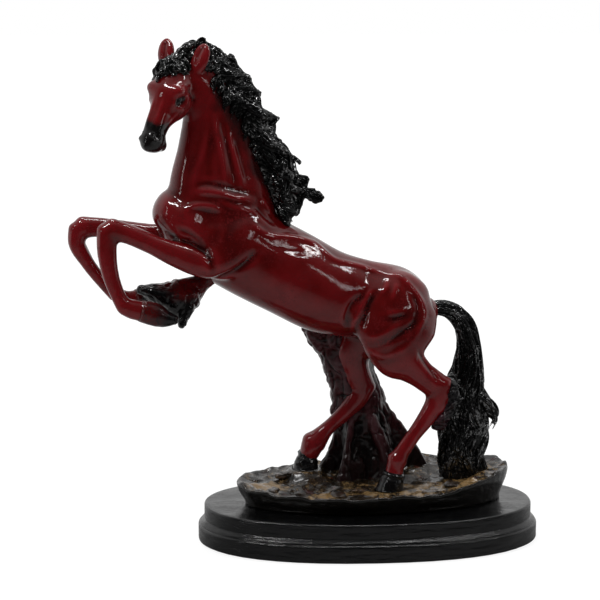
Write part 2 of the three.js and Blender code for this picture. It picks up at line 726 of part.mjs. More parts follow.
Object.entries(limbs).forEach(([name, limb], i) => {
  add(`${name}_leg`, cut(legSolid(limb), [bodyTool, hoofTools[i], wireTools[i]]), redLacquer);
  add(`${name}_hoof`, cut(hoofSolid(limb), [wireTools[i]]), blackLacquer);
  add(`${name}_wire`, wireSolid(limb), steel);
});

add('horse_body', cut(bodySolid(), [...wireTools, neckDowel(glueLine), tailDowel(glueLine)]), redLacquer);
add('horse_head', cut(headSolid(), [
  bodyTool, eyeSolid(-1, glueLine), eyeSolid(1, glueLine), neckDowel(glueLine),
]), redLacquer);
add('left_eye', eyeSolid(1), blackLacquer);
add('right_eye', eyeSolid(-1), blackLacquer);
add('neck_dowel', neckDowel(), steel);

const maneShape = maneSolid();
add('mane', cut(maneShape, [bodyTool, headTool]), blackLacquer);
add('forelock', cut(forelockSolid(), [headTool, bodyTool, maneShape]), blackLacquer);
add('tail', cut(tailSolid(), [bodyTool, slabTool, ...legTools, tailDowel(glueLine)]), blackLacquer);
add('tail_dowel', tailDowel(), steel);
add('tree_trunk', cut(trunkSolid(), [bodyTool, slabTool, ...legTools, ...hoofTools]), bark);
add('hoof_brace', cut(braceSolid(), [bodyTool, ...legTools, ...hoofTools]), blackLacquer);

const slabHoles = screwHoles(slabFoot - 1, slabFoot + screw.bite + glueLine, screw.shaft + glueLine);
add('ground_slab', cut(slabSolid(), [...slabHoles, ...wireTools]), rock);
add('plinth', plinthSolid(), blackLacquer);
add('felt_sheet', feltSolid(), blackFelt);
add('plinth_screw_front', screwSolid(-1), steel);
add('plinth_screw_back', screwSolid(1), steel);

export default statue;
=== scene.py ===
"""The looks of a lacquered statuette of a rearing horse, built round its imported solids."""

import logging
import math
from dataclasses import asdict, dataclass, field
from enum import Enum
from functools import cache
from typing import Callable, Iterable, Sequence

import bpy
import numpy as np
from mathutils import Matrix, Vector
from mathutils.kdtree import KDTree


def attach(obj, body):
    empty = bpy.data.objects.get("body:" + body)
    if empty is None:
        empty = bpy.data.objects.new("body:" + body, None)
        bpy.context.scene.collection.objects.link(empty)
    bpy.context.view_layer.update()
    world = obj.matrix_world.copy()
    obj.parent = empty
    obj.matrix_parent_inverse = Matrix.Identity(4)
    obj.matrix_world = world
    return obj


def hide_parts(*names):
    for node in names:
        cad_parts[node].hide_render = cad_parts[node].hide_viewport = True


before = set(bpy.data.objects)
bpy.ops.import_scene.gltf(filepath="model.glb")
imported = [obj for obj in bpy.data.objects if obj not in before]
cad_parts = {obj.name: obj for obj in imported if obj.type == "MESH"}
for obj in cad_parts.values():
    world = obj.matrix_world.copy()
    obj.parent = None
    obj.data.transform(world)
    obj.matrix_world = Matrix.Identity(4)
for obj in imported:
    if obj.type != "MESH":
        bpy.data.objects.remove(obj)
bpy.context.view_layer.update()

log = logging.getLogger("statuette")
MM = 0.001
UP = np.array((0.0, 0.0, 1.0))
WHITE = (1.0, 1.0, 1.0)
Colour = tuple[float, float, float]
Point = tuple[float, float, float]
Spot = tuple[float, float]
Station = tuple[float, float, float, float, float]
Object = bpy.types.Object
Material = bpy.types.Material
Socket = bpy.types.NodeSocket


# Shaping


@dataclass(frozen=True)
class Stand:
    """How the horse stands over its plinth.

    Attributes:
        yaw: The horse's turn about the upright, in radians.
        offset: The figure's place over the plinth, in millimetres.
    """

    yaw: float = math.radians(8.0)
    offset: Point = (-1.2, 0.0, 0.7)

    def turn(self, vectors: Sequence, way: int = 1) -> np.ndarray:
        """Turn directions of the horse's frame into the statuette's frame, or back with way -1."""
        v = np.asarray(vectors, float)
        c, s = math.cos(self.yaw), way * math.sin(self.yaw)
        return np.stack((c * v[..., 0] - s * v[..., 1], s * v[..., 0] + c * v[..., 1], v[..., 2]), -1)

    def place(self, points: Sequence) -> np.ndarray:
        """Move points of the horse's frame, in millimetres, into the statuette's frame."""
        return self.turn(points) + np.array(self.offset)


STAND = Stand()
ACROSS = STAND.turn((0.0, 1.0, 0.0))


def horse_frame(points: np.ndarray) -> np.ndarray:
    """Turn points of the statuette's frame back into the horse's frame."""
    return STAND.turn(points - np.array(STAND.offset), -1)


def unit(v: np.ndarray) -> np.ndarray:
    """Scale vectors to length 1 along their last axis."""
    return v / np.maximum(np.linalg.norm(v, axis=-1, keepdims=True), 1e-9)


def dot(a: np.ndarray, b: np.ndarray) -> np.ndarray:
    """Multiply rows with rows."""
    return np.einsum("ij,ij->i", a, b)


def smoothstep(x: np.ndarray, low: float, high: float) -> np.ndarray:
    """Rise smoothly from 0 at low to 1 at high."""
    t = np.clip((np.asarray(x, float) - low) / (high - low), 0.0, 1.0)
    return t * t * (3 - 2 * t)


def spline(points: np.ndarray, t: np.ndarray) -> np.ndarray:
    """Read a centripetal Catmull-Rom curve.

    Args:
        points: Rows that the curve passes through.
        t: Shares of the curve, from 0 to 1.

    Returns:
        One row for each share.
    """
    p = np.asarray(points, float)
    p = np.vstack((2 * p[:1] - p[1:2], p, 2 * p[-1:] - p[-2:-1]))
    u = np.clip(t, 0.0, 1.0) * (len(p) - 3)
    i = np.minimum(u.astype(int), len(p) - 4)
    w = (u - i)[:, None]
    p0, p1, p2, p3 = (p[i + k] for k in range(4))
    pairs = ((p0, p1), (p1, p2), (p2, p3))
    d0, d1, d2 = (
        np.maximum(np.sqrt(np.linalg.norm(b - a, axis=1)), 1e-4)[:, None] for a, b in pairs
    )
    m1 = ((p1 - p0) / d0 - (p2 - p0) / (d0 + d1) + (p2 - p1) / d1) * d1
    m2 = ((p2 - p1) / d1 - (p3 - p1) / (d1 + d2) + (p3 - p2) / d2) * d1
    square, cube = 3 * (p2 - p1) - 2 * m1 - m2, 2 * (p1 - p2) + m1 + m2
    return p1 + m1 * w + square * w**2 + cube * w**3


def circle(sides: int) -> np.ndarray:
    """List the angles of the points of a ring."""
    return np.linspace(0, 2 * np.pi, sides, endpoint=False)


def globe(rings: int, sides: int, end: float) -> np.ndarray:
    """Give the rings of a unit ball, the first and last that share of a half turn off its poles."""
    turn, angle = np.linspace(end, 1 - end, rings) * np.pi, circle(sides)
    flat = [np.outer(np.sin(turn), row) for row in (np.cos(angle), np.sin(angle))]
    return np.stack((*flat, np.outer(np.cos(turn), np.ones(sides))), -1)


def link(name: str, data: bpy.types.ID) -> Object:
    """Make an object of some data and put it in the scene."""
    made = bpy.data.objects.new(name, data)
    bpy.context.scene.collection.objects.link(made)
    return made


def show(
    mesh: bpy.types.Mesh,
    name: str,
    material: Material | None = None,
    masks: dict[str, np.ndarray] | None = None,
) -> Object:
    """Shade a mesh smooth, write its masks, and make its object.

    Args:
        mesh: The mesh, in metres.
        name: The name of the piece.
        material: Its finish.
        masks: Values of its points, from 0 to 1, by the name of their attribute.

    Returns:
        The piece.
    """
    for key, values in (masks or {}).items():
        made = mesh.attributes.new(key, "FLOAT", "POINT")
        made.data.foreach_set("value", np.clip(values, 0, 1).astype(np.float32))
    mesh.polygons.foreach_set("use_smooth", [True] * len(mesh.polygons))
    mesh.name = name
    mesh.update()
    if material:
        mesh.materials.append(material)
    return link(name, mesh)


@dataclass
class Surface:
    """A closed surface in millimetres.

    Attributes:
        verts: Its points.
        quads: Faces of four points.
        tris: Faces of three points.
    """

    verts: np.ndarray
    quads: np.ndarray
    tris: np.ndarray

    @staticmethod
    def joined(parts: Iterable["Surface"]) -> "Surface":
        """Put several surfaces into one, as separate shells."""
        verts, quads, tris, base = [], [], [], 0
        for part in parts:
            verts.append(part.verts)
            quads.append(part.quads + base)
            tris.append(part.tris + base)
            base += len(part.verts)
        return Surface(np.vstack(verts), np.vstack(quads), np.vstack(tris))

    @staticmethod
    def of_rings(rings: np.ndarray) -> "Surface":
        """Skin rings of points and close both ends with fans.

        Args:
            rings: An array of rings, points and coordinates, each ring wound the same way.

        Returns:
            The closed surface, wound outwards.
        """
        count, sides, _ = rings.shape
        grid = np.arange(count * sides).reshape(count, sides)
        turned = np.roll(grid, -1, axis=1)
        quads = np.stack((grid[:-1], turned[:-1], turned[1:], grid[1:]), -1).reshape(-1, 4)
        verts = np.vstack((rings.reshape(-1, 3), rings[0].mean(0), rings[-1].mean(0)))
        first, last = (np.full(sides, count * sides + k) for k in (0, 1))
        head = np.stack((first, turned[0], grid[0]), -1)
        foot = np.stack((last, grid[-1], turned[-1]), -1)
        made = Surface(verts, quads, np.vstack((head, foot)))
        return made if made.volume() > 0 else Surface(verts, quads[:, ::-1], made.tris[:, ::-1])

    def volume(self) -> float:
        """Measure the signed volume, positive where faces point outwards."""
        split = np.vstack((self.quads[:, (0, 1, 2)], self.quads[:, (0, 2, 3)], self.tris))
        a, b, c = (self.verts[split[:, k]] for k in range(3))
        return float(dot(a, np.cross(b, c)).sum() / 6)

    def to_object(
        self,
        name: str,
        material: Material | None = None,
        masks: dict[str, np.ndarray] | None = None,
    ) -> Object:
        """Make the piece in metres, with its finish and its masks."""
        mesh = bpy.data.meshes.new(name)
        mesh.from_pydata((self.verts * MM).tolist(), [], self.quads.tolist() + self.tris.tolist())
        return show(mesh, name, material, masks)


@dataclass
class Chain:
    """A smooth row of oval sections through stations.

    Attributes:
        centres: The middles of the sections, in millimetres in the statuette's frame.
        sizes: Half sizes of each section: deep, wide.
        side: The direction that the wide axis keeps closest to.
    """

    centres: np.ndarray
    sizes: np.ndarray
    side: np.ndarray = field(default_factory=lambda: ACROSS)

    @classmethod
    def along(cls, stations: Sequence[Sequence[float]]) -> "Chain":
        """Make a chain of stations in the horse's frame: s, w, h, deep, wide."""
        rows = np.asarray(stations, float)
        return cls(STAND.place(rows[:, :3]), rows[:, 3:5])

    def section(self, t: np.ndarray) -> tuple[np.ndarray, ...]:
        """Read centre, along, deep axis, wide axis and sizes at shares t."""
        step = 1e-4
        before, after = (
            spline(self.centres, end) for end in (np.maximum(t - step, 0), np.minimum(t + step, 1))
        )
        along = unit(after - before)
        wide = unit(self.side - along * (along @ self.side)[:, None])
        centre, size = spline(self.centres, t), spline(self.sizes, t)
        return centre, along, np.cross(along, wide), wide, size

    def share_of(self, points: np.ndarray) -> np.ndarray:
        """Find the share of the chain that each point is nearest to."""
        shares = np.linspace(0, 1, 80)
        centres = spline(self.centres, shares)
        return shares[((points[:, None] - centres) ** 2).sum(-1).argmin(1)]

    def tube(
        self,
        steps: int = 48,
        sides: int = 40,
        cap: float = 0.8,
        pinch: float = 0.0,
        lobe: Callable[[np.ndarray, np.ndarray], np.ndarray] | None = None,
    ) -> Surface:
        """Build the closed tube over the sections.

        Args:
            steps: Rings along the tube, less one.
            sides: Points in a ring.
            cap: How far its ends bulge, as a share of their smaller half size.
            pinch: How much narrower the deep side of each section is.
            lobe: Scale of the radius for an angle and a share.

        Returns:
            The tube.
        """
        angle = circle(sides)
        c, s = np.cos(angle), np.sin(angle)
        turn = np.linspace(0.15, 1.0, 5) * np.pi / 2
        share = np.concatenate((np.zeros(5), np.linspace(0, 1, steps + 1), np.ones(5)))
        closing, full = np.sin(turn) * 0.999, np.ones(steps + 1)
        shrink = np.concatenate((closing, full, closing[::-1]))
        shift = np.concatenate((-np.cos(turn), 0 * full, np.cos(turn)[::-1])) * cap
        centre, along, deep, wide, size = self.section(share)
        middle = centre + along * (shift * size.min(1))[:, None]
        scale = np.ones((1, sides)) if lobe is None else lobe(angle[None, :], share[:, None])
        scale = shrink[:, None] * scale
        down = deep[:, None] * (size[:, :1] * scale * c)[..., None]
        across = wide[:, None] * (size[:, 1:] * scale * s * (1 - pinch * c))[..., None]
        return Surface.of_rings(middle[:, None] + down + across)


class Noise:
    """Smooth seeded noise over points.

    Args:
        seed: Any whole number.
    """

    def __init__(self, seed: int) -> None:
        self.table = np.random.default_rng(seed).random(4096)

    def value(self, points: np.ndarray, size: float) -> np.ndarray:
        """Read noise from -1 to 1 whose lumps are size across."""
        q = points / size
        cell = np.floor(q).astype(np.int64)
        f = q - cell
        f = f * f * (3 - 2 * f)
        total = np.zeros(len(points))
        for corner in range(8):
            bit = np.array((corner & 1, corner >> 1 & 1, corner >> 2 & 1))
            k = cell + bit
            key = (k[:, 0] * 73856093 ^ k[:, 1] * 19349663 ^ k[:, 2] * 83492791) & 4095
            total += self.table[key] * np.prod(np.where(bit, f, 1 - f), axis=1)
        return total * 2 - 1

    def fractal(self, points: np.ndarray, size: float, octaves: int = 3) -> np.ndarray:
        """Add octaves of noise, each half as large and half as strong."""
        return sum(self.value(points + 17.3 * k, size / 2**k) / 2**k for k in range(octaves))


def columns(items: bpy.types.bpy_prop_collection, key: str, width: int, kind: type) -> np.ndarray:
    """Read one property of all items of a mesh, a row for each."""
    values = np.empty(len(items) * width, kind)
    items.foreach_get(key, values)
    return values.reshape(-1, width)


class Skin:
    """A fused closed mesh whose points are shaped as arrays, in millimetres.

    Args:
        name: The name of its object.
        parts: Closed surfaces that overlap.
        voxel: The size of its faces, in millimetres.
    """

    def __init__(self, name: str, parts: Iterable[Surface], voxel: float) -> None:
        rough = Surface.joined(parts).to_object(name + "_rough")
        fuse = rough.modifiers.new("fuse", "REMESH")
        fuse.mode = "VOXEL"
        fuse.voxel_size = voxel * MM
        evaluated = rough.evaluated_get(bpy.context.evaluated_depsgraph_get())
        self.name = name
        self.mesh = bpy.data.meshes.new_from_object(evaluated)
        bpy.data.objects.remove(rough)
        self.points = columns(self.mesh.vertices, "co", 3, float) / MM
        self.edges = columns(self.mesh.edges, "vertices", 2, int)
        self.mesh.calc_loop_triangles()
        self.tris = columns(self.mesh.loop_triangles, "vertices", 3, int)
        self.degree = np.bincount(self.edges.ravel(), minlength=len(self.points))[:, None]
        self.masks: dict[str, np.ndarray] = {}

    def around(self, values: np.ndarray) -> np.ndarray:
        """Average values over each point's neighbours."""
        a, b = self.edges.T
        n = len(self.points)
        sums = [np.bincount(a, v[b], n) + np.bincount(b, v[a], n) for v in values.T]
        return np.stack(sums, -1) / self.degree

    def smooth(self, rounds: int, weight: np.ndarray | float = 1.0) -> None:
        """Relax the points towards their neighbours."""
        w = np.broadcast_to(np.asarray(weight, float), len(self.points))[:, None] * 0.6
        for _ in range(rounds):
            self.points = self.points + (self.around(self.points) - self.points) * w

    def normals(self) -> np.ndarray:
        """Find the outward direction at each point."""
        a, b, c = (self.points[self.tris[:, k]] for k in range(3))
        face = np.cross(b - a, c - a)
        n = len(self.points)
        shares = (
            np.stack([np.bincount(corner, face[:, j], n) for j in range(3)], -1)
            for corner in self.tris.T
        )
        return unit(sum(shares))

    def push(self, amount: np.ndarray) -> None:
        """Move each point outwards by its own amount."""
        self.points = self.points + self.normals() * amount[:, None]

    def hollows(self, rounds: int) -> np.ndarray:
        """Measure how far each point lies below its surroundings, in millimetres."""
        soft = self.points
        for _ in range(rounds):
            soft = soft + (self.around(soft) - soft) * 0.7
        return dot(soft - self.points, self.normals())

    def to_object(self, material: Material) -> Object:
        """Write the points and masks to the mesh and make its object."""
        self.mesh.vertices.foreach_set("co", (self.points * MM).ravel())
        return show(self.mesh, self.name, material, self.masks)


@dataclass(frozen=True)
class Swell:
    """A soft rise or dip of the skin, at a point of the horse's frame."""

    at: Point
    reach: float
    rise: float

    def lift(self, points: np.ndarray) -> np.ndarray:
        """Read the rise at points of the horse's frame."""
        return self.rise * np.exp(-((points - np.array(self.at)) ** 2).sum(1) / self.reach**2)


@dataclass(frozen=True)
class Line:
    """A ridge or a furrow along points of the horse's frame.

    Attributes:
        path: The points that it follows.
        rise: Its height in the middle, below zero for a furrow.
        reach: The half width at which it fades.
    """

    path: tuple[Point, ...]
    rise: float
    reach: float

    def lift(self, points: np.ndarray) -> np.ndarray:
        """Read the rise at points of the horse's frame."""
        path = spline(np.array(self.path, float), np.linspace(0, 1, 24))
        lift = np.zeros(len(points))
        low, high = path.min(0) - 3 * self.reach, path.max(0) + 3 * self.reach
        near = np.flatnonzero(((points > low) & (points < high)).all(1))
        spot = points[near]
        best, share = np.full(len(near), 1e9), np.zeros(len(near))
        for k, (a, b) in enumerate(zip(path[:-1], path[1:])):
            t = np.clip((spot - a) @ (b - a) / ((b - a) @ (b - a) + 1e-12), 0, 1)
            d = ((spot - a - t[:, None] * (b - a)) ** 2).sum(1)
            share = np.where(d < best, (k + t) / 23, share)
            best = np.minimum(best, d)
        fade = smoothstep(share, -0.1, 0.25) * smoothstep(1 - share, -0.1, 0.25)
        lift[near] = self.rise * np.exp(-best / self.reach**2) * fade
        return lift


@dataclass(frozen=True)
class Relief:
    """Muscles and creases of a skin.

    Attributes:
        swells: Soft rises and dips.
        lines: Ridges and furrows.
        paired: Whether they repeat on the other side of the middle.
    """

    swells: tuple[Swell, ...]
    lines: tuple[Line, ...] = ()
    paired: bool = False

    def lift(self, points: np.ndarray) -> np.ndarray:
        """Add up all rises at points of the frame that they are given in."""
        total = np.zeros(len(points))
        for turned in (points, points * (1, -1, 1)) if self.paired else (points,):
            for part in (*self.swells, *self.lines):
                total += part.lift(turned)
        return total


# Finishes


class Coat(Enum):
    """How a lacquer is laid on: the stretch of its waves across the piece."""

    SPRAYED = (1.0, 1.0, 1.0)
    BRUSHED = (1.0, 1.0, 6.0)


class Tree:
    """A short way to build a node tree.

    Args:
        tree: The tree to build in.
    """

    def __init__(self, tree: bpy.types.NodeTree) -> None:
        self.tree = tree
        tree.nodes.clear()

    def fill(self, socket: Socket, value: object) -> None:
        """Link a socket to an output, or set its value."""
        if isinstance(value, Socket):
            self.tree.links.new(value, socket)
        else:
            socket.default_value = value

    def node(self, kind: str, inputs: dict | None = None, **settings: object) -> bpy.types.Node:
        """Add a node, set its properties, and set or link its inputs.

        Args:
            kind: Blender's name of the node.
            inputs: Values or output sockets, by the input's name or number.
            settings: Properties of the node.

        Returns:
            The node.
        """
        made = self.tree.nodes.new(kind)
        for key, value in settings.items():
            setattr(made, key, value)
        for key, value in (inputs or {}).items():
            self.fill(made.inputs[key], value)
        return made

    def math(self, operation: str, a: object, b: object = 0.0, clamp: bool = False) -> Socket:
        """Add a Math node and return its output."""
        made = self.node("ShaderNodeMath", {0: a, 1: b}, operation=operation, use_clamp=clamp)
        return made.outputs[0]

    def times(self, a: object, b: object) -> Socket:
        """Multiply two values."""
        return self.math("MULTIPLY", a, b)

    def plus(self, a: object, b: object, clamp: bool = False) -> Socket:
        """Add two values."""
        return self.math("ADD", a, b, clamp)

    def less(self, value: object) -> Socket:
        """Give what is missing to 1."""
        return self.math("SUBTRACT", 1.0, value, True)

    def span(
        self, value: object, low: float, high: float, ends: Spot = (0.0, 1.0), soft: bool = False
    ) -> Socket:
        """Map a value from between low and high to between two ends."""
        inputs = dict(enumerate((value, low, high, *ends)))
        kind = "SMOOTHSTEP" if soft else "LINEAR"
        return self.node("ShaderNodeMapRange", inputs, interpolation_type=kind).outputs[0]

    def mix(self, share: object, a: object, b: object) -> Socket:
        """Add a colour Mix node and return its output."""
        made = self.node("ShaderNodeMix", data_type="RGBA")
        given = {"Factor_Float": share, "A_Color": a, "B_Color": b}
        for socket in made.inputs:
            if socket.identifier in given:
                self.fill(socket, given[socket.identifier])
        return next(s for s in made.outputs if s.identifier == "Result_Color")

    def ramp(self, value: object, low: float, high: float, dark: Colour, light: Colour) -> Socket:
        """Add a colour ramp of two stops and return its colour."""
        made = self.node("ShaderNodeValToRGB", {0: value})
        stops = ((low, dark), (high, light))
        for element, (place, colour) in zip(made.color_ramp.elements, stops):
            element.position, element.color = place, rgba(colour)
        return made.outputs[0]

    def noise(self, vector: object, scale: float, detail: float, roughness: float) -> Socket:
        """Add a noise texture and return its value."""
        inputs = {"Vector": vector, "Scale": scale, "Detail": detail, "Roughness": roughness}
        return self.node("ShaderNodeTexNoise", inputs).outputs[0]

    def place(self, stretch: Point = (1.0, 1.0, 1.0)) -> Socket:
        """Read the place on the piece, in metres, stretched along its axes."""
        found = self.node("ShaderNodeTexCoord").outputs["Object"]
        return self.node("ShaderNodeMapping", {"Vector": found, "Scale": stretch}).outputs[0]

    def shared(self, made: bpy.types.NodeTree, *values: object) -> bpy.types.bpy_prop_collection:
        """Place a shared group, its inputs set in order, and return its outputs."""
        return self.node("ShaderNodeGroup", dict(enumerate(values)), node_tree=made).outputs

    def mask(self, name: str) -> Socket:
        """Read a mask of the piece."""
        return self.node("ShaderNodeAttribute", attribute_name=name).outputs["Fac"]

    def bump(self, height: object, depth: float) -> Socket:
        """Add a Bump node and return its normal."""
        return self.node("ShaderNodeBump", {"Height": height, "Distance": depth}).outputs[0]


def rgba(colour: Colour) -> tuple[float, ...]:
    """Make a colour opaque."""
    return (*colour, 1.0)


def group(
    name: str, kind: str, inputs: dict[str, str], outputs: dict[str, str]
) -> tuple[Tree, dict[str, Socket], bpy.types.Node]:
    """Start a node group.

    Args:
        name: Its name.
        kind: Shader or Geometry.
        inputs: The type of each input.
        outputs: The type of each output.

    Returns:
        The tree, its input sockets by name, and its output node.
    """
    made = bpy.data.node_groups.new(name, kind + "NodeTree")
    for side, sockets in (("INPUT", inputs), ("OUTPUT", outputs)):
        for key, socket in sockets.items():
            made.interface.new_socket(key, in_out=side, socket_type="NodeSocket" + socket)
    tree = Tree(made)
    entry = tree.node("NodeGroupInput")
    return tree, {s.name: s for s in entry.outputs if s.name}, tree.node("NodeGroupOutput")


def relief_group() -> bpy.types.NodeTree:
    """Build the shared group that makes a poured and lacquered skin wavy, with dust and pits in it.

    Returns:
        The group, with inputs Vector, Wave Scale, Grain Scale, Wave, Grain and outputs Height, Dust.
    """
    inputs = dict.fromkeys(("Wave Scale", "Grain Scale", "Wave", "Grain"), "Float")
    outputs = {"Height": "Float", "Dust": "Float"}
    tree, given, out = group("lacquer_relief", "Shader", {"Vector": "Vector", **inputs}, outputs)
    place, dust_from, dust_full = given["Vector"], 0.27, 0.36
    wave = tree.noise(place, given["Wave Scale"], 2.0, 0.4)
    grain = tree.noise(place, given["Grain Scale"], 2.0, 0.5)
    height = tree.plus(tree.times(wave, given["Wave"]), tree.times(grain, given["Grain"]))
    patch = tree.noise(place, given["Wave Scale"], 4.0, 0.7)
    tree.fill(out.inputs["Height"], height)
    tree.fill(out.inputs["Dust"], tree.span(tree.times(patch, grain), dust_from, dust_full))
    return tree.tree


def painted_shade_group() -> bpy.types.NodeTree:
    """Build the shared group that paints shade into hollows, paints highlights onto ridges and mottles
    what lies between.

    Returns:
        The group, with inputs Vector, Hollow Shade, Scale, Low, Middle, High and the output Colour.
    """
    inputs = {"Vector": "Vector", "Hollow Shade": "Float", "Scale": "Float"}
    inputs |= dict.fromkeys(("Low", "Middle", "High"), "Color")
    tree, given, out = group("hollow_shade_and_ridge_highlight", "Shader", inputs, {"Colour": "Color"})
    # Painted shade: hollows take the Low colour. Painted highlight: ridges take the High colour.
    mottling, hollows, ridges = 0.9, (0.42, 0.95), (0.46, 0.05)
    cloud = tree.noise(given["Vector"], given["Scale"], 4.0, 0.6)
    mottled = tree.times(tree.math("SUBTRACT", cloud, 0.5), mottling)
    shifted = tree.plus(given["Hollow Shade"], mottled)
    lit = tree.mix(tree.span(shifted, *ridges), given["Middle"], given["High"])
    tree.fill(out.inputs["Colour"], tree.mix(tree.span(shifted, *hollows), lit, given["Low"]))
    return tree.tree


RELIEF = relief_group()
PAINTED_SHADE = painted_shade_group()


def new_material(name: str) -> tuple[Material, Tree]:
    """Start an empty material, and give it with its tree."""
    made = bpy.data.materials.new(name)
    made.use_nodes = True
    return made, Tree(made.node_tree)


@dataclass(frozen=True, kw_only=True)
class Finish:
    """What all finishes of the statuette have.

    Attributes:
        name: The material's name.
        middle: The main colour.
        roughness: How dull the colour coat is.
        specular: How much the colour coat shines.
        coat_weight: How much clear coat there is over it.
        gloss: The roughness of the clear coat.
        coat_ior: How strongly the clear coat bends light.
        tone_scale: Size of the mottling, per metre.
        wave_scale: Size of the waves in the skin, per metre.
        grain_scale: Size of the grain, per metre.
        wave: Strength of the waves.
        grain: Strength of the grain.
        depth: Distance of the bump, in metres.
    """

    name: str
    middle: Colour
    roughness: float = 0.35
    specular: float = 0.25
    coat_weight: float = 1.0
    gloss: float = 0.05
    coat_ior: float = 1.5
    tone_scale: float = 45.0
    wave_scale: float = 130.0
    grain_scale: float = 1100.0
    wave: float = 0.8
    grain: float = 0.1
    depth: float = 0.0006

    def relief(self, tree: Tree, place: Socket) -> bpy.types.bpy_prop_collection:
        """Place the shared relief with this finish's values, and return its outputs."""
        return tree.shared(RELIEF, place, self.wave_scale, self.grain_scale, self.wave, self.grain)

    def paint(self, tree: Tree) -> dict[str, object]:
        """Build what varies over the surface, and give it by the name of the shader's input."""
        raise NotImplementedError

    @cache
    def build(self) -> Material:
        """Make the material."""
        made, tree = new_material(self.name)
        made.diffuse_color = rgba(self.middle)
        even = {
            "Roughness": self.roughness,
            "Coat Weight": self.coat_weight,
            "Coat Roughness": self.gloss,
            "Coat IOR": self.coat_ior,
            "Specular IOR Level": self.specular,
        }
        shader = tree.node("ShaderNodeBsdfPrincipled", even | self.paint(tree))
        tree.node("ShaderNodeOutputMaterial", {"Surface": shader.outputs[0]})
        return made


@dataclass(frozen=True, kw_only=True)
class Lacquer(Finish):
    """A glossy lacquer over cast resin.

    Attributes:
        low: The painted shade colour in hollows.
        high: The painted highlight colour on ridges.
        black_paint_and_shadow: The colour of black paint, and on the body of the mane's painted shadow,
            that fades in where its mask is 1.
        dust: The colour of dust and rubbed places.
        coat: How the lacquer is laid on.
        masked: Whether the piece has its hollow mask and its mask of black paint and painted shadow.
        wear: How much of the clear coat is gone where there is dust.
        drops: How far the clear coat has run together in drops.
    """

    low: Colour
    high: Colour
    black_paint_and_shadow: Colour = (0.004, 0.003, 0.003)
    dust: Colour = (0.03, 0.028, 0.026)
    coat: Coat = Coat.SPRAYED
    masked: bool = True
    wear: float = 0.25
    drops: float = 0.0

    def clear(self, tree: Tree, place: Socket, dust: Socket) -> Socket:
        """Build the share of clear coat, less in dust and between drops.

        Args:
            tree: The material's tree.
            place: The place on the piece.
            dust: The share of dust there.

        Returns:
            The share.
        """
        wet = tree.times(tree.less(tree.times(dust, self.wear)), self.coat_weight)
        if not self.drops:
            return wet
        dry_from, dry_full = 0.97, 0.88
        broad = tree.times(tree.noise(place, self.wave_scale / 5, 2.0, 0.5), 0.7)
        spots = tree.plus(tree.noise(place, self.wave_scale * 1.3, 2.0, 0.5), broad)
        dry = tree.span(spots, dry_full, dry_from, (1.0, 0.0))
        return tree.times(wet, tree.less(tree.times(dry, self.drops)))

    def paint(self, tree: Tree) -> dict[str, object]:
        """Build the colours, the bumps and the clear coat."""
        place = tree.place(self.coat.value)
        relief = self.relief(tree, place)
        hollow = tree.mask("hollow") if self.masked else 0.5
        colours = (rgba(colour) for colour in (self.low, self.middle, self.high))
        # Painted shade in hollows and painted highlight on ridges, from the hollow mask.
        tone = tree.shared(PAINTED_SHADE, place, hollow, self.tone_scale, *colours)
        colour = tree.mix(relief["Dust"], tone["Colour"], rgba(self.dust))
        if self.masked:
            # Black paint, and on the body the painted shadow of the mane.
            colour = tree.mix(tree.mask("black_paint_and_shadow"), colour, rgba(self.black_paint_and_shadow))
        swell = tree.times(tree.noise(place, self.wave_scale, 2.0, 0.4), self.wave)
        fine = tree.times(tree.noise(place, self.grain_scale, 2.0, 0.5), self.grain)
        dusty = min(1.0, self.roughness + 0.25)
        return {
            "Base Color": colour,
            "Roughness": tree.span(relief["Dust"], 0.0, 1.0, (self.roughness, dusty)),
            "Coat Weight": self.clear(tree, place, relief["Dust"]),
            "Normal": tree.bump(relief["Height"], self.depth),
            "Coat Normal": tree.bump(tree.plus(swell, fine), self.depth),
        }


@dataclass(frozen=True, kw_only=True)
class Bark(Finish):
    """Lacquered bark: purple-brown ribs with painted highlights over furrows in black painted shade,
    darker and browner at its foot.

    Attributes:
        furrow: The painted shade colour in the furrows.
        crown: The painted highlight colour on the ribs' tops.
        root: The colour where the trunk meets the rock.
        rooted: How much of that colour there is at the foot.
        stretch: The stretch of the pattern, longer up the trunk.
    """

    furrow: Colour
    crown: Colour
    root: Colour
    rooted: float = 0.75
    stretch: Point = (1.0, 1.0, 0.3)

    def paint(self, tree: Tree) -> dict[str, object]:
        """Build the colours and the bump."""
        place = tree.place(self.stretch)
        relief = self.relief(tree, place)
        colours = (rgba(colour) for colour in (self.furrow, self.middle, self.crown))
        # Painted shade in the furrows and painted highlight on the ribs, from the hollow mask.
        tone = tree.shared(PAINTED_SHADE, place, tree.mask("hollow"), self.tone_scale, *colours)
        foot = tree.times(tree.mask("foot"), self.rooted)
        return {
            "Base Color": tree.mix(foot, tone["Colour"], rgba(self.root)),
            "Normal": tree.bump(relief["Height"], self.depth),
        }


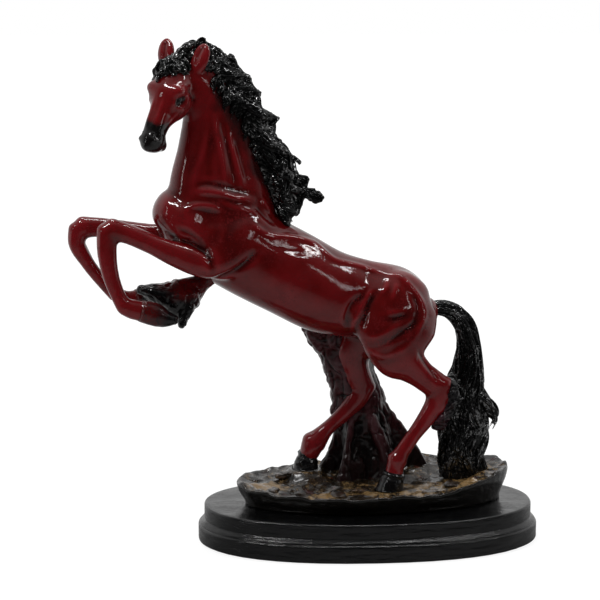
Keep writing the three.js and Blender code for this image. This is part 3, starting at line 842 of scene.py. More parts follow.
@dataclass(frozen=True, kw_only=True)
class Stone(Finish):
    """Painted rock under a wet-looking lacquer, with gold rubbed over its high places.

    Attributes:
        dark: The colour in the cracks and down its sides.
        ochre: The colour of the rubbed places.
        wine: The colour of a few red flecks.
        edge: The noise at which the rubbed places start.
        flecks: How much of the red there is in a fleck.
        rubbing: How far the rub mask lowers that edge.
    """

    roughness: float = 0.22
    specular: float = 0.12
    coat_weight: float = 0.75
    wave_scale: float = 300.0
    grain_scale: float = 1000.0
    wave: float = 1.0
    grain: float = 0.35
    depth: float = 0.0016
    dark: Colour = (0.003, 0.0022, 0.0014)
    ochre: Colour = (0.24, 0.15, 0.062)
    wine: Colour = (0.06, 0.004, 0.004)
    edge: float = 0.45
    flecks: float = 0.7
    rubbing: float = 0.2

    def paint(self, tree: Tree) -> dict[str, object]:
        """Build the colours and the bump."""
        place = tree.place()
        relief = self.relief(tree, place)
        broad = tree.times(tree.noise(place, 60.0, 4.0, 0.6), 0.45)
        fine = tree.times(tree.noise(place, 330.0, 5.0, 0.7), 0.55)
        mixed = tree.plus(broad, fine)
        base = tree.ramp(mixed, 0.42, 0.58, self.dark, self.middle)
        red = tree.span(tree.noise(place, 140.0, 3.0, 0.6), 0.62, 0.68)
        base = tree.mix(tree.times(red, self.flecks), base, rgba(self.wine))
        lifted = tree.plus(mixed, tree.times(tree.mask("rub"), self.rubbing))
        rubbed = tree.span(lifted, self.edge + 0.1, self.edge + 0.22)
        colour = tree.mix(rubbed, base, rgba(self.ochre))
        return {
            "Base Color": tree.mix(tree.mask("side"), colour, rgba(self.dark)),
            "Normal": tree.bump(relief["Height"], self.depth),
        }


@dataclass(frozen=True, kw_only=True)
class Plain(Finish):
    """A finish for the fixings and the felt: one colour with grain.

    Attributes:
        metallic: 1 for metal.
    """

    specular: float = 0.5
    coat_weight: float = 0.0
    metallic: float = 0.0

    def paint(self, tree: Tree) -> dict[str, object]:
        """Build the grain."""
        grain = tree.noise(tree.place(), self.grain_scale, 3.0, 0.6)
        dark = tuple(0.6 * c for c in self.middle)
        return {
            "Base Color": tree.ramp(grain, 0.3, 0.7, dark, self.middle),
            "Metallic": self.metallic,
            "Normal": tree.bump(grain, self.depth),
        }


# In these lacquers, low is the painted shade colour of hollows and high is the painted highlight colour of
# ridges.
RED_LACQUER = Lacquer(
    name="red_lacquer",
    low=(0.018, 0.0002, 0.0002), middle=(0.08, 0.0008, 0.001), high=(0.14, 0.004, 0.006),
    dust=(0.09, 0.003, 0.004), depth=0.0004, specular=0.05, wave=0.5,
)
TANGLE_LACQUER = Lacquer(
    name="tangle_lacquer",
    low=(0.003, 0.0005, 0.001), middle=(0.022, 0.0028, 0.007), high=(0.07, 0.018, 0.03),
    black_paint_and_shadow=(0.0022, 0.0014, 0.002), dust=(0.03, 0.01, 0.015), tone_scale=260.0, wave_scale=500.0,
    depth=0.0005, specular=0.1, coat_weight=0.6,
)
HOOF_LACQUER = Lacquer(
    name="hoof_lacquer",
    low=(0.016, 0.0002, 0.0005), middle=(0.075, 0.0008, 0.001), high=(0.13, 0.004, 0.006),
    black_paint_and_shadow=(0.002, 0.0014, 0.0018), dust=(0.02, 0.01, 0.01), wave_scale=300.0, depth=0.0004,
    specular=0.1, coat_weight=0.8,
)
HAIR_LACQUER = Lacquer(
    name="hair_lacquer",
    low=(0.0004, 0.0004, 0.0004), middle=(0.001, 0.001, 0.001), high=(0.003, 0.003, 0.003),
    dust=(0.002, 0.002, 0.002), masked=False, wave_scale=400.0, grain_scale=900.0, wave=1.0,
    grain=0.06, depth=0.0009, specular=0.03, gloss=0.03, coat_ior=2.4, wear=0.5, drops=0.88,
)
EYE_BLACK = Lacquer(
    name="eye_black",
    low=(0.001, 0.001, 0.001), middle=(0.003, 0.0025, 0.0025), high=(0.006, 0.005, 0.005),
    masked=False, wave=0.1, grain=0.0, gloss=0.02,
)
PLINTH_BLACK = Lacquer(
    name="plinth_black",
    low=(0.0008, 0.0009, 0.001), middle=(0.0018, 0.0019, 0.0022), high=(0.004, 0.004, 0.0045),
    dust=(0.005, 0.005, 0.005), coat=Coat.BRUSHED, masked=False, tone_scale=30.0, wave_scale=70.0,
    wave=1.0, grain=0.14, depth=0.0007, specular=0.03, gloss=0.03, coat_weight=0.8,
)
BARK = Bark(
    name="bark",
    furrow=(0.0016, 0.0006, 0.0007), middle=(0.022, 0.003, 0.004), crown=(0.046, 0.014, 0.017),
    root=(0.0035, 0.0016, 0.0012), roughness=0.3, specular=0.12, coat_weight=0.4, gloss=0.08,
    tone_scale=90.0, wave_scale=420.0, grain_scale=1300.0, grain=0.3, depth=0.0009,
)
ROCK = Stone(name="rock", middle=(0.03, 0.018, 0.008), gloss=0.2)
STONE = Stone(name="stone", middle=(0.05, 0.028, 0.016), edge=0.46, gloss=0.3)
STEEL = Plain(
    name="steel", middle=(0.55, 0.54, 0.52), metallic=1.0, grain_scale=900.0, depth=0.00005
)
FELT = Plain(
    name="black_felt", middle=(0.02, 0.02, 0.021), roughness=0.95, grain_scale=1800.0, depth=0.0004
)


# The horse


TORSO: tuple[Station, ...] = (
    (-113.5, 0, 195.5, 12, 12), (-104.5, 0, 190, 20, 17.5), (-88, 0, 180.5, 24, 20),
    (-68, 0, 169.5, 25.2, 20.5), (-46, 0, 157.8, 25.2, 21.5), (-24, 0, 146, 24.6, 21),
    (-3, 0, 141, 22.8, 19.5), (16, 0, 137.5, 21.5, 20), (29, 0, 132.5, 16.5, 16.5), (35, 0, 132, 9, 11),
)
NECK: tuple[Station, ...] = (
    (-80, 0, 182, 29, 16), (-84, 0, 195, 29.5, 16), (-86, 0, 210, 28, 14.5), (-87, -1, 231, 22.5, 11.5),
    (-89.5, -2, 249, 17.5, 9.5), (-94, -3.5, 262, 13.5, 8.5), (-100, -4.5, 271, 10, 8),
)


NECK_PINCH = -0.28


@dataclass(frozen=True)
class Limb:
    """One leg: its root in the body, its bones and its hoof, as stations of the horse's frame."""

    root: tuple[Station, ...]
    bones: tuple[tuple[Station, ...], ...]
    hoof: tuple[Station, ...]


LEFT_FORE = Limb(
    root=(
        (-64, -7, 190, 9, 6), (-76, -12, 179, 14, 8.5), (-88, -15, 169.5, 13, 8.5),
        (-95, -16, 167, 9, 7.5),
    ),
    bones=(
        ((-86, -15, 166.5, 9, 7.5), (-99, -16.5, 167.3, 8.4, 7), (-113, -16.3, 172.5, 7.2, 6.2),
            (-127, -16, 179, 5.6, 5.2), (-138.5, -15.5, 184.3, 5.6, 5), (-149, -15, 187.8, 6.2, 5.4)),
        ((-150.6, -15, 187, 6.2, 5.2), (-151.2, -15, 176, 5.6, 4.5), (-149.3, -15, 162, 4.8, 3.9),
            (-145.8, -15, 151.5, 4.3, 3.7), (-142, -15, 143.8, 4.6, 4.2)),
        ((-142.2, -15, 144.2, 4.9, 4.5), (-137.4, -15, 142.4, 5.6, 4.8), (-131, -15, 140.8, 5.9, 5)),
    ),
    hoof=(
        (-132, -15, 141.2, 6.2, 5.3), (-125, -15, 139, 6.6, 5.9), (-119.5, -15, 136.6, 5.2, 5.4),
        (-113.8, -15, 135.4, 2.8, 3.4),
    ),
)
RIGHT_FORE = Limb(
    root=(
        (-64, 7, 190, 9, 6), (-76, 12, 180, 14, 8.5), (-90, 13.5, 173, 13, 8.5),
        (-100, 13.5, 173.5, 9, 7.5),
    ),
    bones=(
        ((-92, 12, 173, 10, 7.5), (-109, 13, 176.5, 8.8, 7), (-123.5, 13, 179, 7.2, 6),
            (-140.5, 12.5, 182.8, 6, 5.2), (-152, 12.2, 185, 5.6, 5), (-162, 12, 185.3, 6.4, 5.4)),
        ((-163.8, 12, 184.3, 6, 5.2), (-164.8, 12, 176, 4.9, 4.4), (-159.3, 12, 165.5, 4, 3.8),
            (-151.2, 12, 154.5, 3.7, 3.6), (-143.6, 12, 146.6, 4.4, 4.2)),
        ((-143.6, 12, 146.6, 4.3, 4.2), (-137, 12, 144.2, 4.1, 4), (-130, 12, 144.6, 4.3, 4.2)),
    ),
    hoof=((-131, 12, 144.5, 4.8, 4.6), (-126, 12, 145.2, 5.4, 5.4), (-115.5, 12, 146, 6.2, 6.4)),
)
LEFT_HIND = Limb(
    root=(
        (20, -8, 149, 16, 9), (16, -12, 139, 23.5, 11.5), (13.5, -14, 125, 24, 12),
        (12, -15, 113, 18, 10.5),
    ),
    bones=(
        ((9, -15, 118, 15, 9.5), (14.5, -16, 109.5, 13.6, 8.8), (22, -16, 103.7, 10.2, 7.5),
            (29.5, -16, 97.3, 8, 6.3), (37, -16, 91.8, 8, 5.8)),
        ((39.5, -16, 93.3, 7.8, 5.5), (38, -16, 82, 7, 5.3), (31.8, -16, 72.5, 5.3, 4.6),
            (23.6, -16, 61.7, 4.3, 4.1), (17.5, -16, 53, 4.5, 4.3), (14.6, -16, 48.5, 6, 5.4)),
        ((14.8, -16, 48.5, 5.8, 5.3), (13.4, -16, 44, 5.2, 5), (12.6, -16, 40, 5.4, 5.4)),
    ),
    hoof=((12.8, -16, 41, 5.8, 5.8), (11.8, -16, 37, 6.8, 6.8), (9.5, -16, 28, 8.4, 8.2)),
)
RIGHT_HIND = Limb(
    root=((22, 8, 146, 14, 9), (18, 11, 136, 19, 11.5), (9, 13.5, 123, 18, 11.5), (0, 14.5, 112, 12, 9.5)),
    bones=(
        ((0, 14, 120, 12, 9), (-4.5, 15, 107, 10.3, 8.3), (-2.5, 15, 96, 8, 6.8),
            (1, 15, 86.5, 7.6, 6)),
        ((2.5, 15, 87.5, 7.6, 5.5), (-2.3, 15, 78, 6.4, 5), (-9, 15, 71, 5, 4.5),
            (-17.5, 15, 63.5, 4.3, 4.1), (-25.3, 15, 57.3, 4.6, 4.3), (-29.5, 15, 54.3, 5.8, 5.3)),
        ((-29.3, 15, 54.5, 5.6, 5.2), (-30.6, 15, 50.5, 5, 4.8), (-31.2, 15, 46.8, 5.2, 5.2)),
    ),
    hoof=((-31, 15, 47.8, 5.6, 5.6), (-31.6, 15, 44, 6.6, 6.6), (-33, 15, 35.5, 8, 8)),
)
LIMBS: dict[str, Limb] = {
    "left_fore": LEFT_FORE, "right_fore": RIGHT_FORE, "left_hind": LEFT_HIND, "right_hind": RIGHT_HIND,
}


BODY_RELIEF = Relief(
    paired=True,
    swells=(
        Swell((-109, -9, 196), 10, 3.0), Swell((-66, -14, 182), 12, 1.5),
        Swell((18, -14, 154), 10, 1.6), Swell((-5, -19, 140), 12, -1.2),
        Swell((-95.7, -17, 192), 6.5, -1.6), Swell((-108, -14, 190), 7, 1.2),
        Swell((-82, -19, 176), 12, 1.6), Swell((-75, -15, 194), 9, 1.0),
        Swell((-0.5, -12, 157), 7, -1.5), Swell((4, -21, 130), 11, 1.2), Swell((-90, -20, 166), 7, 1.0),
        Swell((-30, -19, 150), 16, 0.5),
    ),
    lines=(
        Line(((-93.8, -11.9, 242), (-96.5, -12.2, 230), (-100.9, -12.3, 218), (-102.8, -12.8, 208)),
            0.7, 2.2),
        Line(((-91.8, -11.8, 243), (-92.6, -12.4, 230), (-93.5, -13.4, 220), (-94, -14, 212)),
            -0.9, 3.2),
        Line(((-90, -11.4, 248), (-88.9, -12, 237), (-85.5, -13.2, 222), (-84.6, -14.8, 208)),
            0.8, 1.7),
        Line(((-86.2, -10.9, 247), (-83.8, -11.4, 237), (-80.6, -12.8, 222), (-78.2, -13.9, 208)),
            -1.0, 1.6),
        Line(((-82, -10.7, 237), (-77.7, -11.8, 222), (-74.1, -12.1, 209)), 0.9, 1.8),
        Line(((-78, -10, 236), (-73.5, -11, 222), (-70, -11.6, 210)), -0.9, 1.7),
        Line(((-102.6, -13, 207), (-94.6, -14.7, 207), (-87.2, -15.1, 205.6), (-79.6, -14.6, 203.4),
            (-69, -11, 201.5)), 1.5, 2.0),
        Line(((-101.5, -13, 211), (-94, -14.4, 211.4), (-86.5, -14.6, 210), (-78.6, -14, 207.6),
            (-69, -11, 205)), -1.1, 2.0),
        Line(((-106.7, -16.2, 196), (-104.7, -15.4, 198.2), (-100.3, -14.8, 199.4),
            (-93, -15.9, 198.8), (-87, -16.2, 196)), 1.8, 1.7),
        Line(((-88, -18, 196), (-87, -20, 190), (-87.5, -21, 184), (-90, -22, 178)), 0.8, 2.2),
        Line(((-117.3, -8.8, 184.2), (-113.9, -12.3, 182), (-110.3, -14.5, 179.6),
            (-105.8, -16.9, 179.6), (-100.9, -18.6, 176.8), (-96.5, -21.2, 173.6),
            (-94.4, -22.9, 168.2), (-93.2, -21.9, 163)), -2.0, 2.0),
        Line(((-111.1, -15.6, 187), (-105.8, -17.4, 184.4), (-101, -18.6, 181), (-95.4, -21.5, 174.5)),
            -1.0, 1.3),
        Line(((-93.4, -18, 158.5), (-86.6, -20.7, 160.4), (-78.9, -20.4, 164), (-72.7, -20.9, 169),
            (-68, -20.8, 174)), -1.8, 2.4),
        Line(((-90.4, -15.7, 203), (-80.5, -15.1, 198.2), (-73.8, -13.8, 196), (-66, -12.5, 194)),
            0.9, 2.0),
        Line(((-70, -17.5, 188), (-68.1, -17, 186.2), (-60.7, -17.4, 182.4), (-51.3, -14.6, 181),
            (-41.7, -11.9, 179), (-33.9, -11, 175.7), (-25.4, -13.4, 167)), 1.1, 1.8),
        Line(((-66, -19, 181), (-58, -19.5, 177), (-48, -18.5, 174), (-38, -17, 171)), -0.7, 3.0),
        Line(((-64, -8, 201), (-61.5, -8, 198.9), (-54.8, -7.6, 190.8), (-47.4, -8.3, 185.7),
            (-40, -9.6, 181)), 1.0, 1.8),
        Line(((-67, -12, 198), (-62, -12.5, 192), (-55, -12, 187)), -1.0, 2.2),
        Line(((-41.1, -11.3, 179), (-32.8, -9, 176.4), (-28.2, -10.6, 171.6), (-22.3, -12.2, 166.6),
            (-13.6, -10.4, 163.6), (-3.1, -9.2, 161), (3.3, -10, 159), (10.2, -13, 156)), 0.9, 1.7),
        Line(((10.2, -13, 156), (15.2, -14.5, 154.8), (19.7, -17.2, 150.6), (24.5, -19, 145.6),
            (28, -19.6, 138), (28, -21.3, 133), (24.7, -23.6, 127), (21.9, -24.6, 120)), 1.1, 1.8),
        Line(((22, -20.5, 146), (24, -22, 139), (22, -24, 131), (19, -25, 125)), -0.7, 1.8),
    ),
)
LEFT_HIND_RELIEF = Relief(
    swells=(Swell((22, -20, 108), 8, 0.8), Swell((16, -24, 112), 6, 0.6)),
    lines=(
        Line(((8.7, -14.3, 154.3), (6.5, -18.1, 150), (3.6, -18.9, 146)), 0.9, 1.5),
        Line(((13.3, -17, 152.3), (11.1, -20.2, 147.7), (9, -21.5, 143)), 0.8, 1.5),
        Line(((-1, -16.5, 149), (-3.7, -17.8, 146), (-7.3, -18.8, 140), (-9.6, -18.6, 135),
            (-12, -17.6, 130), (-12, -14, 123)), 1.2, 1.5),
        Line(((-15.7, -16.4, 127), (-15.6, -18.6, 135.7), (-12.4, -19.2, 142), (-5, -18, 147)),
            -1.5, 2.4),
        Line(((1, -18, 147.5), (-3.4, -19, 141.5), (-5.2, -19, 135), (-6.5, -19.4, 128)), -0.9, 1.5),
        Line(((5.3, -23.1, 136.4), (11.6, -23.8, 136.8), (17.5, -23.5, 138)), 0.8, 1.9),
        Line(((2, -22.8, 132.5), (9, -24.2, 133), (16, -24.4, 134.4)), -0.9, 1.9),
        Line(((-4.5, -21.6, 122), (1.4, -23.6, 123.4), (7.4, -25.2, 127), (14, -25, 131)), 0.9, 1.8),
        Line(((-4.6, -18.8, 117), (2.7, -23, 118.6), (9.8, -25, 122.4), (17.8, -25.4, 127.4),
            (24, -23.5, 131)), -0.9, 1.9),
        Line(((-8, -18, 117), (-2, -21.5, 112.6), (6, -23.4, 111.5), (13, -24.4, 114.6),
            (20, -24.5, 119)), 0.7, 2.0),
        Line(((23.5, -22.8, 116), (29, -21, 106.5), (34.2, -20.7, 99.5), (37, -20.5, 94)), -0.9, 1.4),
        Line(((27, -21, 112), (33, -18.5, 105), (39, -17.5, 98)), 0.6, 1.5),
        Line(((30, -20.5, 74), (23, -20, 64), (17.6, -20, 55)), -0.5, 1.1),
    ),
)
RIGHT_HIND_RELIEF = Relief(
    swells=(Swell((-23.5, 14, 51.5), 6.0, 3.2), Swell((-30, 10, 50), 5.0, 1.4)),
)


@dataclass
class HorseSkin:
    """The red skin of the body, the neck and the legs.

    Attributes:
        voxel: Size of the remesh.
        pools: Painted shade on the haunch, the shoulder and the neck: centre and size seen from the side,
            and strength.
        body: Relax rounds where the trunk's forms meet.
    """

    voxel: float = 0.95
    body: int = 22
    pools: tuple[tuple[Spot, Spot, float], ...] = (
        ((9, 128), (17, 11), 0.34), ((17, 140), (9, 8), 0.3), ((-83, 174), (11, 13), 0.32),
        ((-64, 168), (8, 8), 0.2), ((-80, 205), (12, 16), 0.2),
    )

    def parts(self) -> list[Surface]:
        """List the closed forms that the skin runs over."""
        torso, neck = Chain.along(TORSO), Chain.along(NECK)
        forms = [torso.tube(90, 72, pinch=0.1), neck.tube(70, 64, pinch=NECK_PINCH)]
        for limb in LIMBS.values():
            forms.append(Chain.along(limb.root).tube(40, 48))
            forms += [Chain.along(bone).tube(44, 36, cap=0.85) for bone in limb.bones]
        return forms

    @staticmethod
    def shade(place: np.ndarray) -> np.ndarray:
        """Paint the mane's shadow: dark under the mane and fading out about seven millimetres ahead of its
        front edge, high on the neck, at places in the horse's frame.
        """
        edge = np.array(Mane.edge)[::-1]
        ahead = np.interp(place[:, 2], edge[:, 1], edge[:, 0]) - place[:, 0]
        near = 1 - smoothstep(ahead + 3.5 * Noise(6).fractal(place, 7.0), -1, 7)
        return 0.8 * near * smoothstep(place[:, 2], 186, 200)

    def build(self) -> Object:
        """Fuse the forms, soften where they meet, and shape the muscles."""
        skin = Skin("horse_skin", self.parts(), self.voxel)
        s, _, h = horse_frame(skin.points).T
        above_legs, behind_knees = smoothstep(h, 96, 124), smoothstep(s, -128, -104)
        trunk = above_legs * behind_knees * (1 - smoothstep(s, 34, 40))
        skin.smooth(3)
        skin.smooth(self.body, trunk)
        muscles = BODY_RELIEF.lift(horse_frame(skin.points))
        skin.push(muscles * smoothstep(h, 100, 112) * smoothstep(s, -124, -116))
        for relief in (LEFT_HIND_RELIEF, RIGHT_HIND_RELIEF):
            skin.push(relief.lift(horse_frame(skin.points)))
        skin.smooth(1)
        place = horse_frame(skin.points)
        # Painted shade in the skin's hollows and painted highlight on its ridges.
        skin.masks["hollow"] = 0.4 + skin.hollows(6) * 1.2 + skin.hollows(40) * 0.14
        # Painted shade: darker patches on the haunch, the shoulder and the neck, added to the hollow mask.
        for centre, size, depth in self.pools:
            away = (place[:, (0, 2)] - centre) / size
            skin.masks["hollow"] += depth * np.exp(-(away**2).sum(1))
        # Painted shadow of the mane along its front edge on the neck.
        skin.masks["black_paint_and_shadow"] = self.shade(place)
        return skin.to_object(RED_LACQUER.build())


@dataclass(frozen=True)
class HeadFrame:
    """The axes of the head: along from poll to muzzle, up out of the face, and out to its left."""

    poll: Point = (-108.5, -5.0, 276.0)
    turn: float = math.radians(46.5)
    nod: float = math.radians(57.0)
    tilt: float = math.radians(5.0)

    def axes(self) -> np.ndarray:
        """Give the three axes as rows."""
        angle = self.turn + STAND.yaw
        forward = np.array((-math.cos(angle), -math.sin(angle), 0.0))
        left = np.cross(UP, forward) * math.cos(self.tilt) - UP * math.sin(self.tilt)
        crown = np.cross(forward, left)
        along = forward * math.cos(self.nod) - crown * math.sin(self.nod)
        return np.stack((along, np.cross(along, left), left))

    def point(self, rows: Sequence) -> np.ndarray:
        """Place points given as along, up and left."""
        return STAND.place(self.poll) + np.asarray(rows, float) @ self.axes()

    def read(self, points: np.ndarray) -> np.ndarray:
        """Give points of the statuette as along, left and up, so that the middle is left = 0."""
        local = (points - STAND.place(self.poll)) @ self.axes().T
        return local[:, (0, 2, 1)]


HEAD = HeadFrame()


def head_chain(rows: Sequence[Sequence[float]]) -> Chain:
    """Make a chain of rows in the head's frame: along, up, left, deep, wide."""
    r = np.asarray(rows, float)
    return Chain(HEAD.point(r[:, :3]), r[:, 3:5], HEAD.axes()[2])


HEAD_RELIEF = Relief(
    paired=True,
    swells=(
        Swell((16.5, 11, 5.0), 5.2, 3.9), Swell((17.5, 11.8, 4.4), 2.6, 1.6),
        Swell((20.6, 10.2, -0.8), 2.9, -1.7), Swell((20, 9, -10.5), 7.5, 1.6),
        Swell((29, 7, -1), 4.5, -0.9), Swell((12, 7, 6), 4.0, -0.7), Swell((44.4, 4.6, 0.6), 1.7, -1.9),
        Swell((43.8, 0, -12.2), 3.4, 2.0), Swell((48.5, 0, -2), 3.2, 1.1),
        Swell((46, 3.4, 0), 2.4, 0.8),
    ),
    lines=(
        Line(((14.4, 12.4, 0.8), (16.2, 12.2, 3.4), (19.6, 10.8, 4.1), (22.8, 9.2, 2.6),
            (25, 8.2, 0.2)), 1.5, 1.2),
        Line(((15.6, 11.8, -2.6), (18, 11.4, -3.8), (21, 9.8, -4.2), (24.4, 8.4, -2.0)), 0.9, 1.0),
        Line(((6, 6, 8.4), (10, 7.6, 8.2), (14, 8.6, 7.8)), -0.8, 1.1),
        Line(((8, 2.6, 8.6), (12, 4, 8.6), (15, 6, 8.2)), -0.7, 1.0),
        Line(((25, 8, -4.2), (30, 6.6, -3.6), (36, 5.4, -2.6)), 0.7, 1.3),
        Line(((23, 3.4, 6.4), (30, 3.0, 4.6), (37, 2.6, 3.6), (42, 2.4, 3.4)), 0.5, 1.3),
        Line(((42.4, 3.4, 1.9), (44.6, 4.2, 2.6), (46.6, 4.8, 0.8), (45.4, 5.4, -1.2)), 0.8, 0.9),
        Line(((48.8, 0.0, -6.4), (47.6, 3.4, -6.4), (44.6, 5.4, -6.8), (40.4, 5.6, -7.2)), -1.6, 1.0),
        Line(((22, 0, -16.5), (29, 0, -12.4), (37, 0, -9.8)), -1.4, 2.2),
        Line(((12.6, 9.6, -15), (14.6, 10.4, -10), (13.6, 11, -5), (11.6, 11.2, -1)), -0.9, 1.7),
        Line(((27, 8, -9.6), (24, 9.6, -5.6), (24.6, 9.2, -2)), 0.4, 1.0),
        Line(((40.6, 5.6, -1.2), (41.6, 5.8, -4.2)), -0.35, 0.7),
        Line(((38.6, 5.4, -1.8), (39.4, 5.6, -4.8)), -0.3, 0.7),
    ),
)


@dataclass
class HorseHead:
    """The head: skull, ears and the top of the neck, with two bead eyes."""

    voxel: float = 0.45
    skull: tuple[tuple[float, float, float, float], ...] = (
        (-3, -7, 6, 6.5), (2, -6, 9.5, 9), (9, -5, 12, 10.4), (16, -4.8, 12.2, 11),
        (22, -4.6, 11.6, 10), (28, -3.6, 9.2, 8), (34, -2.9, 7.5, 6.6), (40, -3.3, 7.1, 6.1),
        (44.5, -4.5, 8.1, 6.9), (48, -5.4, 6.3, 5.7),
    )
    ear: tuple[Station, ...] = (
        (1.5, -3, 8.6, 2.8, 3.4), (-2, -1.8, 10.2, 2.9, 4.8), (-6, -0.2, 11.4, 2.9, 5.5),
        (-9.6, 1.0, 12.2, 2.5, 5.0), (-12.2, 2.0, 12.6, 1.9, 3.7), (-13.8, 2.6, 12.8, 1.1, 1.9),
    )
    eye: Point = (20.4, -0.2, 7.3)
    eye_radius: float = 3.1

    def parts(self) -> list[Surface]:
        """List the closed forms of the skull, the ears and the top of the neck."""
        rows = [(a, u, 0.0, d, w) for a, u, d, w in self.skull]
        parts = [head_chain(rows).tube(60, 56, cap=0.6, pinch=-0.1)]
        for side in (-1, 1):
            ear = head_chain([(a, u, side * o, d, w) for a, u, o, d, w in self.ear])
            parts.append(ear.tube(30, 28, cap=0.5))
        centre, _, _, _, size = Chain.along(NECK).section(np.linspace(0.55, 1.0, 9))
        tuck = np.linspace(-0.8, 0.35, 9)[:, None]
        return [*parts, Chain(centre, size + tuck).tube(40, 48, pinch=NECK_PINCH)]

    def shade(self, points: np.ndarray) -> np.ndarray:
        """Mark the black of the muzzle and of the lids."""
        along, left, up = HEAD.read(points).T
        noise = Noise(5).fractal(points, 3.0)
        muzzle = smoothstep(along - 0.25 * up + noise * 1.6, 34.0, 37.5)
        off = ((along - self.eye[0]) / 4.6) ** 2 + ((np.abs(left) - 9.4) / 3.0) ** 2 + (up / 2.8) ** 2
        lids = 1 - smoothstep(np.sqrt(off) + 0.15 * noise, 0.75, 1.15)
        return np.maximum(muzzle, 0.9 * lids)

    def bead(self, name: str, side: int) -> Object:
        """Build the eye on one side, 1 for its left."""
        along, up, left = self.eye
        ball = globe(20, 28, 0.02) * (1.08, 0.72, 1.0) @ HEAD.axes() * self.eye_radius
        made = Surface.of_rings(HEAD.point((along, up, side * left)) + ball)
        return made.to_object(name, EYE_BLACK.build())

    def build(self) -> list[Object]:
        """Build the head and the eyes."""
        skin = Skin("horse_head_skin", self.parts(), self.voxel)
        skin.smooth(5)
        along, left, _ = HEAD.read(skin.points).T
        ears = (1 - smoothstep(along, -3, 2)) * smoothstep(np.abs(left), 6, 8.5)
        skin.smooth(24, 1 - ears)
        for side in (-1, 1):
            path = tuple((a, side * (o - 0.2), u + 2.4) for a, u, o, _, _ in self.ear[1:-1])
            skin.push(Line(path, -0.8, 1.7).lift(HEAD.read(skin.points)) * ears)
        skin.push(HEAD_RELIEF.lift(HEAD.read(skin.points)) * (1 - ears))
        skin.smooth(2)
        # Painted shade in the head's hollows and painted highlight on its ridges.
        skin.masks["hollow"] = 0.4 + skin.hollows(8) * 2 + skin.hollows(60) * 0.25
        skin.masks["black_paint_and_shadow"] = self.shade(skin.points)
        beads = [self.bead("left_eye_bead", 1), self.bead("right_eye_bead", -1)]
        return [skin.to_object(RED_LACQUER.build()), *beads]


# Hair


LOCK_INPUTS = {
    "Guides": "Geometry", "Strands": "Int", "Points": "Int", "Sides": "Int", "Spread": "Float",
    "Thickness": "Float", "Twist": "Float", "Wave": "Float", "Waves": "Float", "Material": "Material",
}


def numbered(tree: Tree, curves: Socket, name: str, number: Socket) -> tuple[Socket, Socket]:
    """Store a number on each curve.

    Args:
        tree: The tree that the node is added to.
        curves: The curves.
        name: The name of the number.
        number: Its value.

    Returns:
        The curves, and the number as it is read from their points.
    """
    inputs = {"Geometry": curves, "Name": name, "Value": number}
    kind = "GeometryNodeStoreNamedAttribute"
    stored = tree.node(kind, inputs, data_type="INT", domain="CURVE")
    read = tree.node("GeometryNodeInputNamedAttribute", {"Name": name}, data_type="INT")
    return stored.outputs[0], read.outputs[0]


def strand_tree() -> bpy.types.NodeTree:
    """Build the tree that turns each guide curve into a lock of twisted, wavy, tapering strands.

    Returns:
        The tree. A guide's radius is the lock's own half width along it.
    """
    tree, given, out = group("lock_of_strands", "Geometry", LOCK_INPUTS, {"Locks": "Geometry"})
    lock_turn, lock_phase, strand_phase, full = 0.37, 0.53, 0.29, 2 * math.pi
    index = tree.node("GeometryNodeInputIndex").outputs[0]
    marked, lock = numbered(tree, given["Guides"], "lock", index)
    fine = tree.node("GeometryNodeResampleCurve", {"Curve": marked, "Count": given["Points"]})
    amount = {"Geometry": fine.outputs[0], "Amount": given["Strands"]}
    copies = tree.node("GeometryNodeDuplicateElements", amount, domain="SPLINE").outputs
    told, strand = numbered(tree, copies[0], "strand", copies[1])
    share = tree.node("GeometryNodeSplineParameter").outputs["Factor"]
    radius, normal, tangent = (
        tree.node("GeometryNodeInput" + kind).outputs[0] for kind in ("Radius", "Normal", "Tangent")
    )
    cross = tree.node("ShaderNodeVectorMath", {0: normal, 1: tangent}, operation="CROSS_PRODUCT")
    turn = tree.math("DIVIDE", strand, given["Strands"])
    turn = tree.plus(turn, tree.times(share, given["Twist"]))
    angle = tree.times(tree.plus(turn, tree.times(lock, lock_turn)), full)
    phase = tree.plus(tree.times(share, given["Waves"]), tree.times(strand, strand_phase))
    phase = tree.times(tree.plus(phase, tree.times(lock, lock_phase)), full)
    ripple = tree.times(tree.math("SINE", phase), given["Wave"])
    reach = tree.times(tree.plus(given["Spread"], ripple), radius)
    steps = []
    for axis, wave in ((normal, "COSINE"), (cross.outputs[0], "SINE")):
        scale = tree.times(tree.math(wave, angle), reach)
        step = tree.node("ShaderNodeVectorMath", {0: axis}, operation="SCALE")
        tree.fill(step.inputs["Scale"], scale)
        steps.append(step.outputs[0])
    aside = tree.node("ShaderNodeVectorMath", dict(enumerate(steps)), operation="ADD").outputs[0]
    moved = tree.node("GeometryNodeSetPosition", {"Geometry": told, "Offset": aside}).outputs[0]
    thick = tree.times(radius, given["Thickness"])
    sized = tree.node("GeometryNodeSetCurveRadius", {"Curve": moved, "Radius": thick}).outputs[0]
    ring = {"Resolution": given["Sides"], "Radius": 1.0}
    profile = tree.node("GeometryNodeCurvePrimitiveCircle", ring).outputs[0]
    sweep = {"Curve": sized, "Profile Curve": profile, "Scale": radius, "Fill Caps": True}
    swept = tree.node("GeometryNodeCurveToMesh", sweep).outputs[0]
    smooth = tree.node("GeometryNodeSetShadeSmooth", {"Geometry": swept}).outputs[0]
    real = tree.node("GeometryNodeRealizeInstances", {"Geometry": smooth}).outputs[0]
    dressed = {"Geometry": real, "Material": given["Material"]}
    tree.fill(out.inputs[0], tree.node("GeometryNodeSetMaterial", dressed).outputs[0])
    return tree.tree


STRANDS = strand_tree()
Guide = tuple[np.ndarray, np.ndarray]


